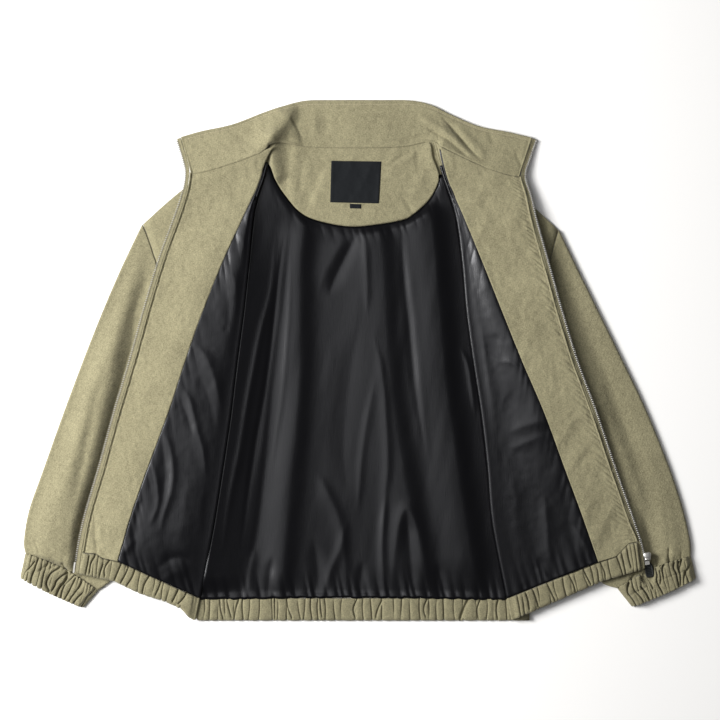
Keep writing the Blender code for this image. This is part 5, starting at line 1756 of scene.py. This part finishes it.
def slider_frame():
    """The middle of the slider on the wearer's left edge of the zip, with its Y axis up the zip."""
    place = zip_place("left", SLIDER_SHARE)
    ahead = zip_place("left", SLIDER_SHARE + 0.02)
    turn = math.atan2(place[0] - ahead[0], ahead[1] - place[1])
    on_edge = Matrix.Translation(place) @ Matrix.Rotation(turn, 4, "Z")
    return on_edge @ Matrix.Translation((SLIDER_OFFSET, 0, 0))


def placed(points, frame):
    """Points of a part's own frame, in the shared one."""
    return points @ np.array(frame.to_3x3()).T + np.array(frame.translation)


def make_slider():
    """The slider's domed back, its lower plate, its post and the bridge that holds the pull."""
    frame = slider_frame()
    across, down = grid(16, 20)
    sideways = 2 * across - 1
    half_width = along([3.4, 5.0, 5.3, 4.9, 4.2, 4.0, 3.6], down)
    round_edges = held((1 - np.abs(sideways) ** 3) * (1 - np.abs(2 * down - 1) ** 4)) ** 0.5
    waist = 0.8 * bell(down, 0.07, 0.78)
    level = PLATE_LEVEL - 0.3 + 1.5 * round_edges - waist
    dome = np.stack([sideways * half_width, 5.6 - 10.4 * down, level], -1)
    cloth("slider_back", placed(dome, frame), 1.2, POLISHED, "slider_metal", ["zip_slider"])
    inner = [
        (rounded_block((9.4, 10.5, 1.2), 0.4), (0, 0, -2.2)),
        (rounded_block((2.4, 4.0, 4.4), 0.3), (0.8, 3.6, 0)),
        (rounded_block((2.6, 1.4, 3.4), 0.3), (0, 2.6, -4.3)),
        (rounded_block((2.6, 1.4, 3.4), 0.3), (0, -2.6, -4.3)),
        (rounded_block((2.6, 6.6, 1.0), 0.3), (0, 0, -5.5)),
    ]
    for number, (shape, middle) in enumerate(inner):
        joined(f"slider_part_{number}", shape, [frame @ Matrix.Translation(middle)], POLISHED)


def make_pull_tab():
    """The ridged rubber tab, with the neck that is moulded round the link's wire."""
    hinge = slider_frame() @ Matrix.Translation((0, 0, -HINGE_DROP)) @ Matrix.Rotation(PULL_TILT, 4, "X")
    across, down = grid(20, 48)
    half_width = along([3.6, 5.0, 5.6, 5.75, 5.75, 5.75, 5.4, 4.6], down)
    inside = ramp(np.abs(2 * across - 1), 0.72, -0.1) * ramp(np.abs(down - 0.5), 0.36, -0.05)
    ridges = inside * (0.35 * np.cos(down * 2 * np.pi * 9) - 0.35)
    place = np.stack([(2 * across - 1) * half_width, -TAB_START - (TAB_END - TAB_START) * down, ridges], -1)
    cloth("pull_tab", placed(place, hinge), 1.8, RUBBER, "pull", ["zip_pull_tab"], body="zip_pull")
    neck = hinge @ Matrix.Translation((0, -7.9, 0))
    joined("pull_neck", rounded_block((4.4, 4.4, 2.8), 0.8), [neck], RUBBER, "zip_pull")


# ---------------------------------------------------------------- the whole jacket


def make_jacket():
    make_back_shell()
    make_neck_facing()
    make_back_lining()
    label = make_label("label", LABEL_CORNERS, 60, 13)
    make_back_band()
    for side in SIDES:
        make_front_shell(side)
        make_front_facing(side)
        make_front_lining(side)
        make_sleeve(side)
        make_cuff(side)
        make_front_band(side)
    make_collar()
    make_slider()
    make_pull_tab()


def finish_solids():
    """Metal solids that stay as they are get their looks here."""
    for name, material in (("zip_box", POLISHED), ("zip_pin", NICKEL), ("zip_pull_link", POLISHED)):
        materials = bpy.data.objects[name].data.materials
        materials.clear()
        materials.append(material)


# ---------------------------------------------------------------- studio


def make_floor():
    bpy.ops.mesh.primitive_plane_add(size=12.0, location=(0, 0, -0.0006))
    floor = bpy.context.object
    floor.name = "studio_floor"
    nodes = Nodes("studio_white")
    nodes.set(Base_Color=(0.97, 0.97, 0.97, 1), Roughness=1.0, Specular_IOR_Level=0.0)
    floor.data.materials.append(nodes.material)


def area_light(name, location, target, size, watts, color=(1, 1, 1)):
    data = bpy.data.lights.new(name, "AREA")
    data.shape = "DISK"
    data.size = size
    data.energy = watts
    data.color = color
    light = bpy.data.objects.new(name, data)
    light.location = location
    light.rotation_euler = (Vector(target) - Vector(location)).to_track_quat("-Z", "Y").to_euler()
    bpy.context.scene.collection.objects.link(light)


def make_studio():
    area_light("key", (-1.78, 0.33, 1.62), (0, 0, 0), 1.25, 99, (1.0, 0.985, 0.96))
    area_light("upper_left", (-1.5, 0.3, 3.7), (0, 0, 0), 3.0, 42)
    world = bpy.data.worlds.new("studio")
    world.use_nodes = True
    background = world.node_tree.nodes["Background"]
    background.inputs["Color"].default_value = (1, 1, 1, 1)
    background.inputs["Strength"].default_value = 0.09
    bpy.context.scene.world = world
    bpy.context.scene.view_settings.view_transform = "Standard"


CAMERA_HEIGHT = 4.0
VIEW_WIDTH = 0.972  # how much of the floor the picture spans


def make_camera():
    data = bpy.data.cameras.new("camera")
    data.lens = 36 * CAMERA_HEIGHT / VIEW_WIDTH
    data.dof.use_dof = False
    camera = bpy.data.objects.new("camera", data)
    camera.location = (0.0027, 0.00135, CAMERA_HEIGHT)
    bpy.context.scene.collection.objects.link(camera)
    bpy.context.scene.camera = camera


make_jacket()
finish_solids()
make_floor()
make_studio()
make_camera()
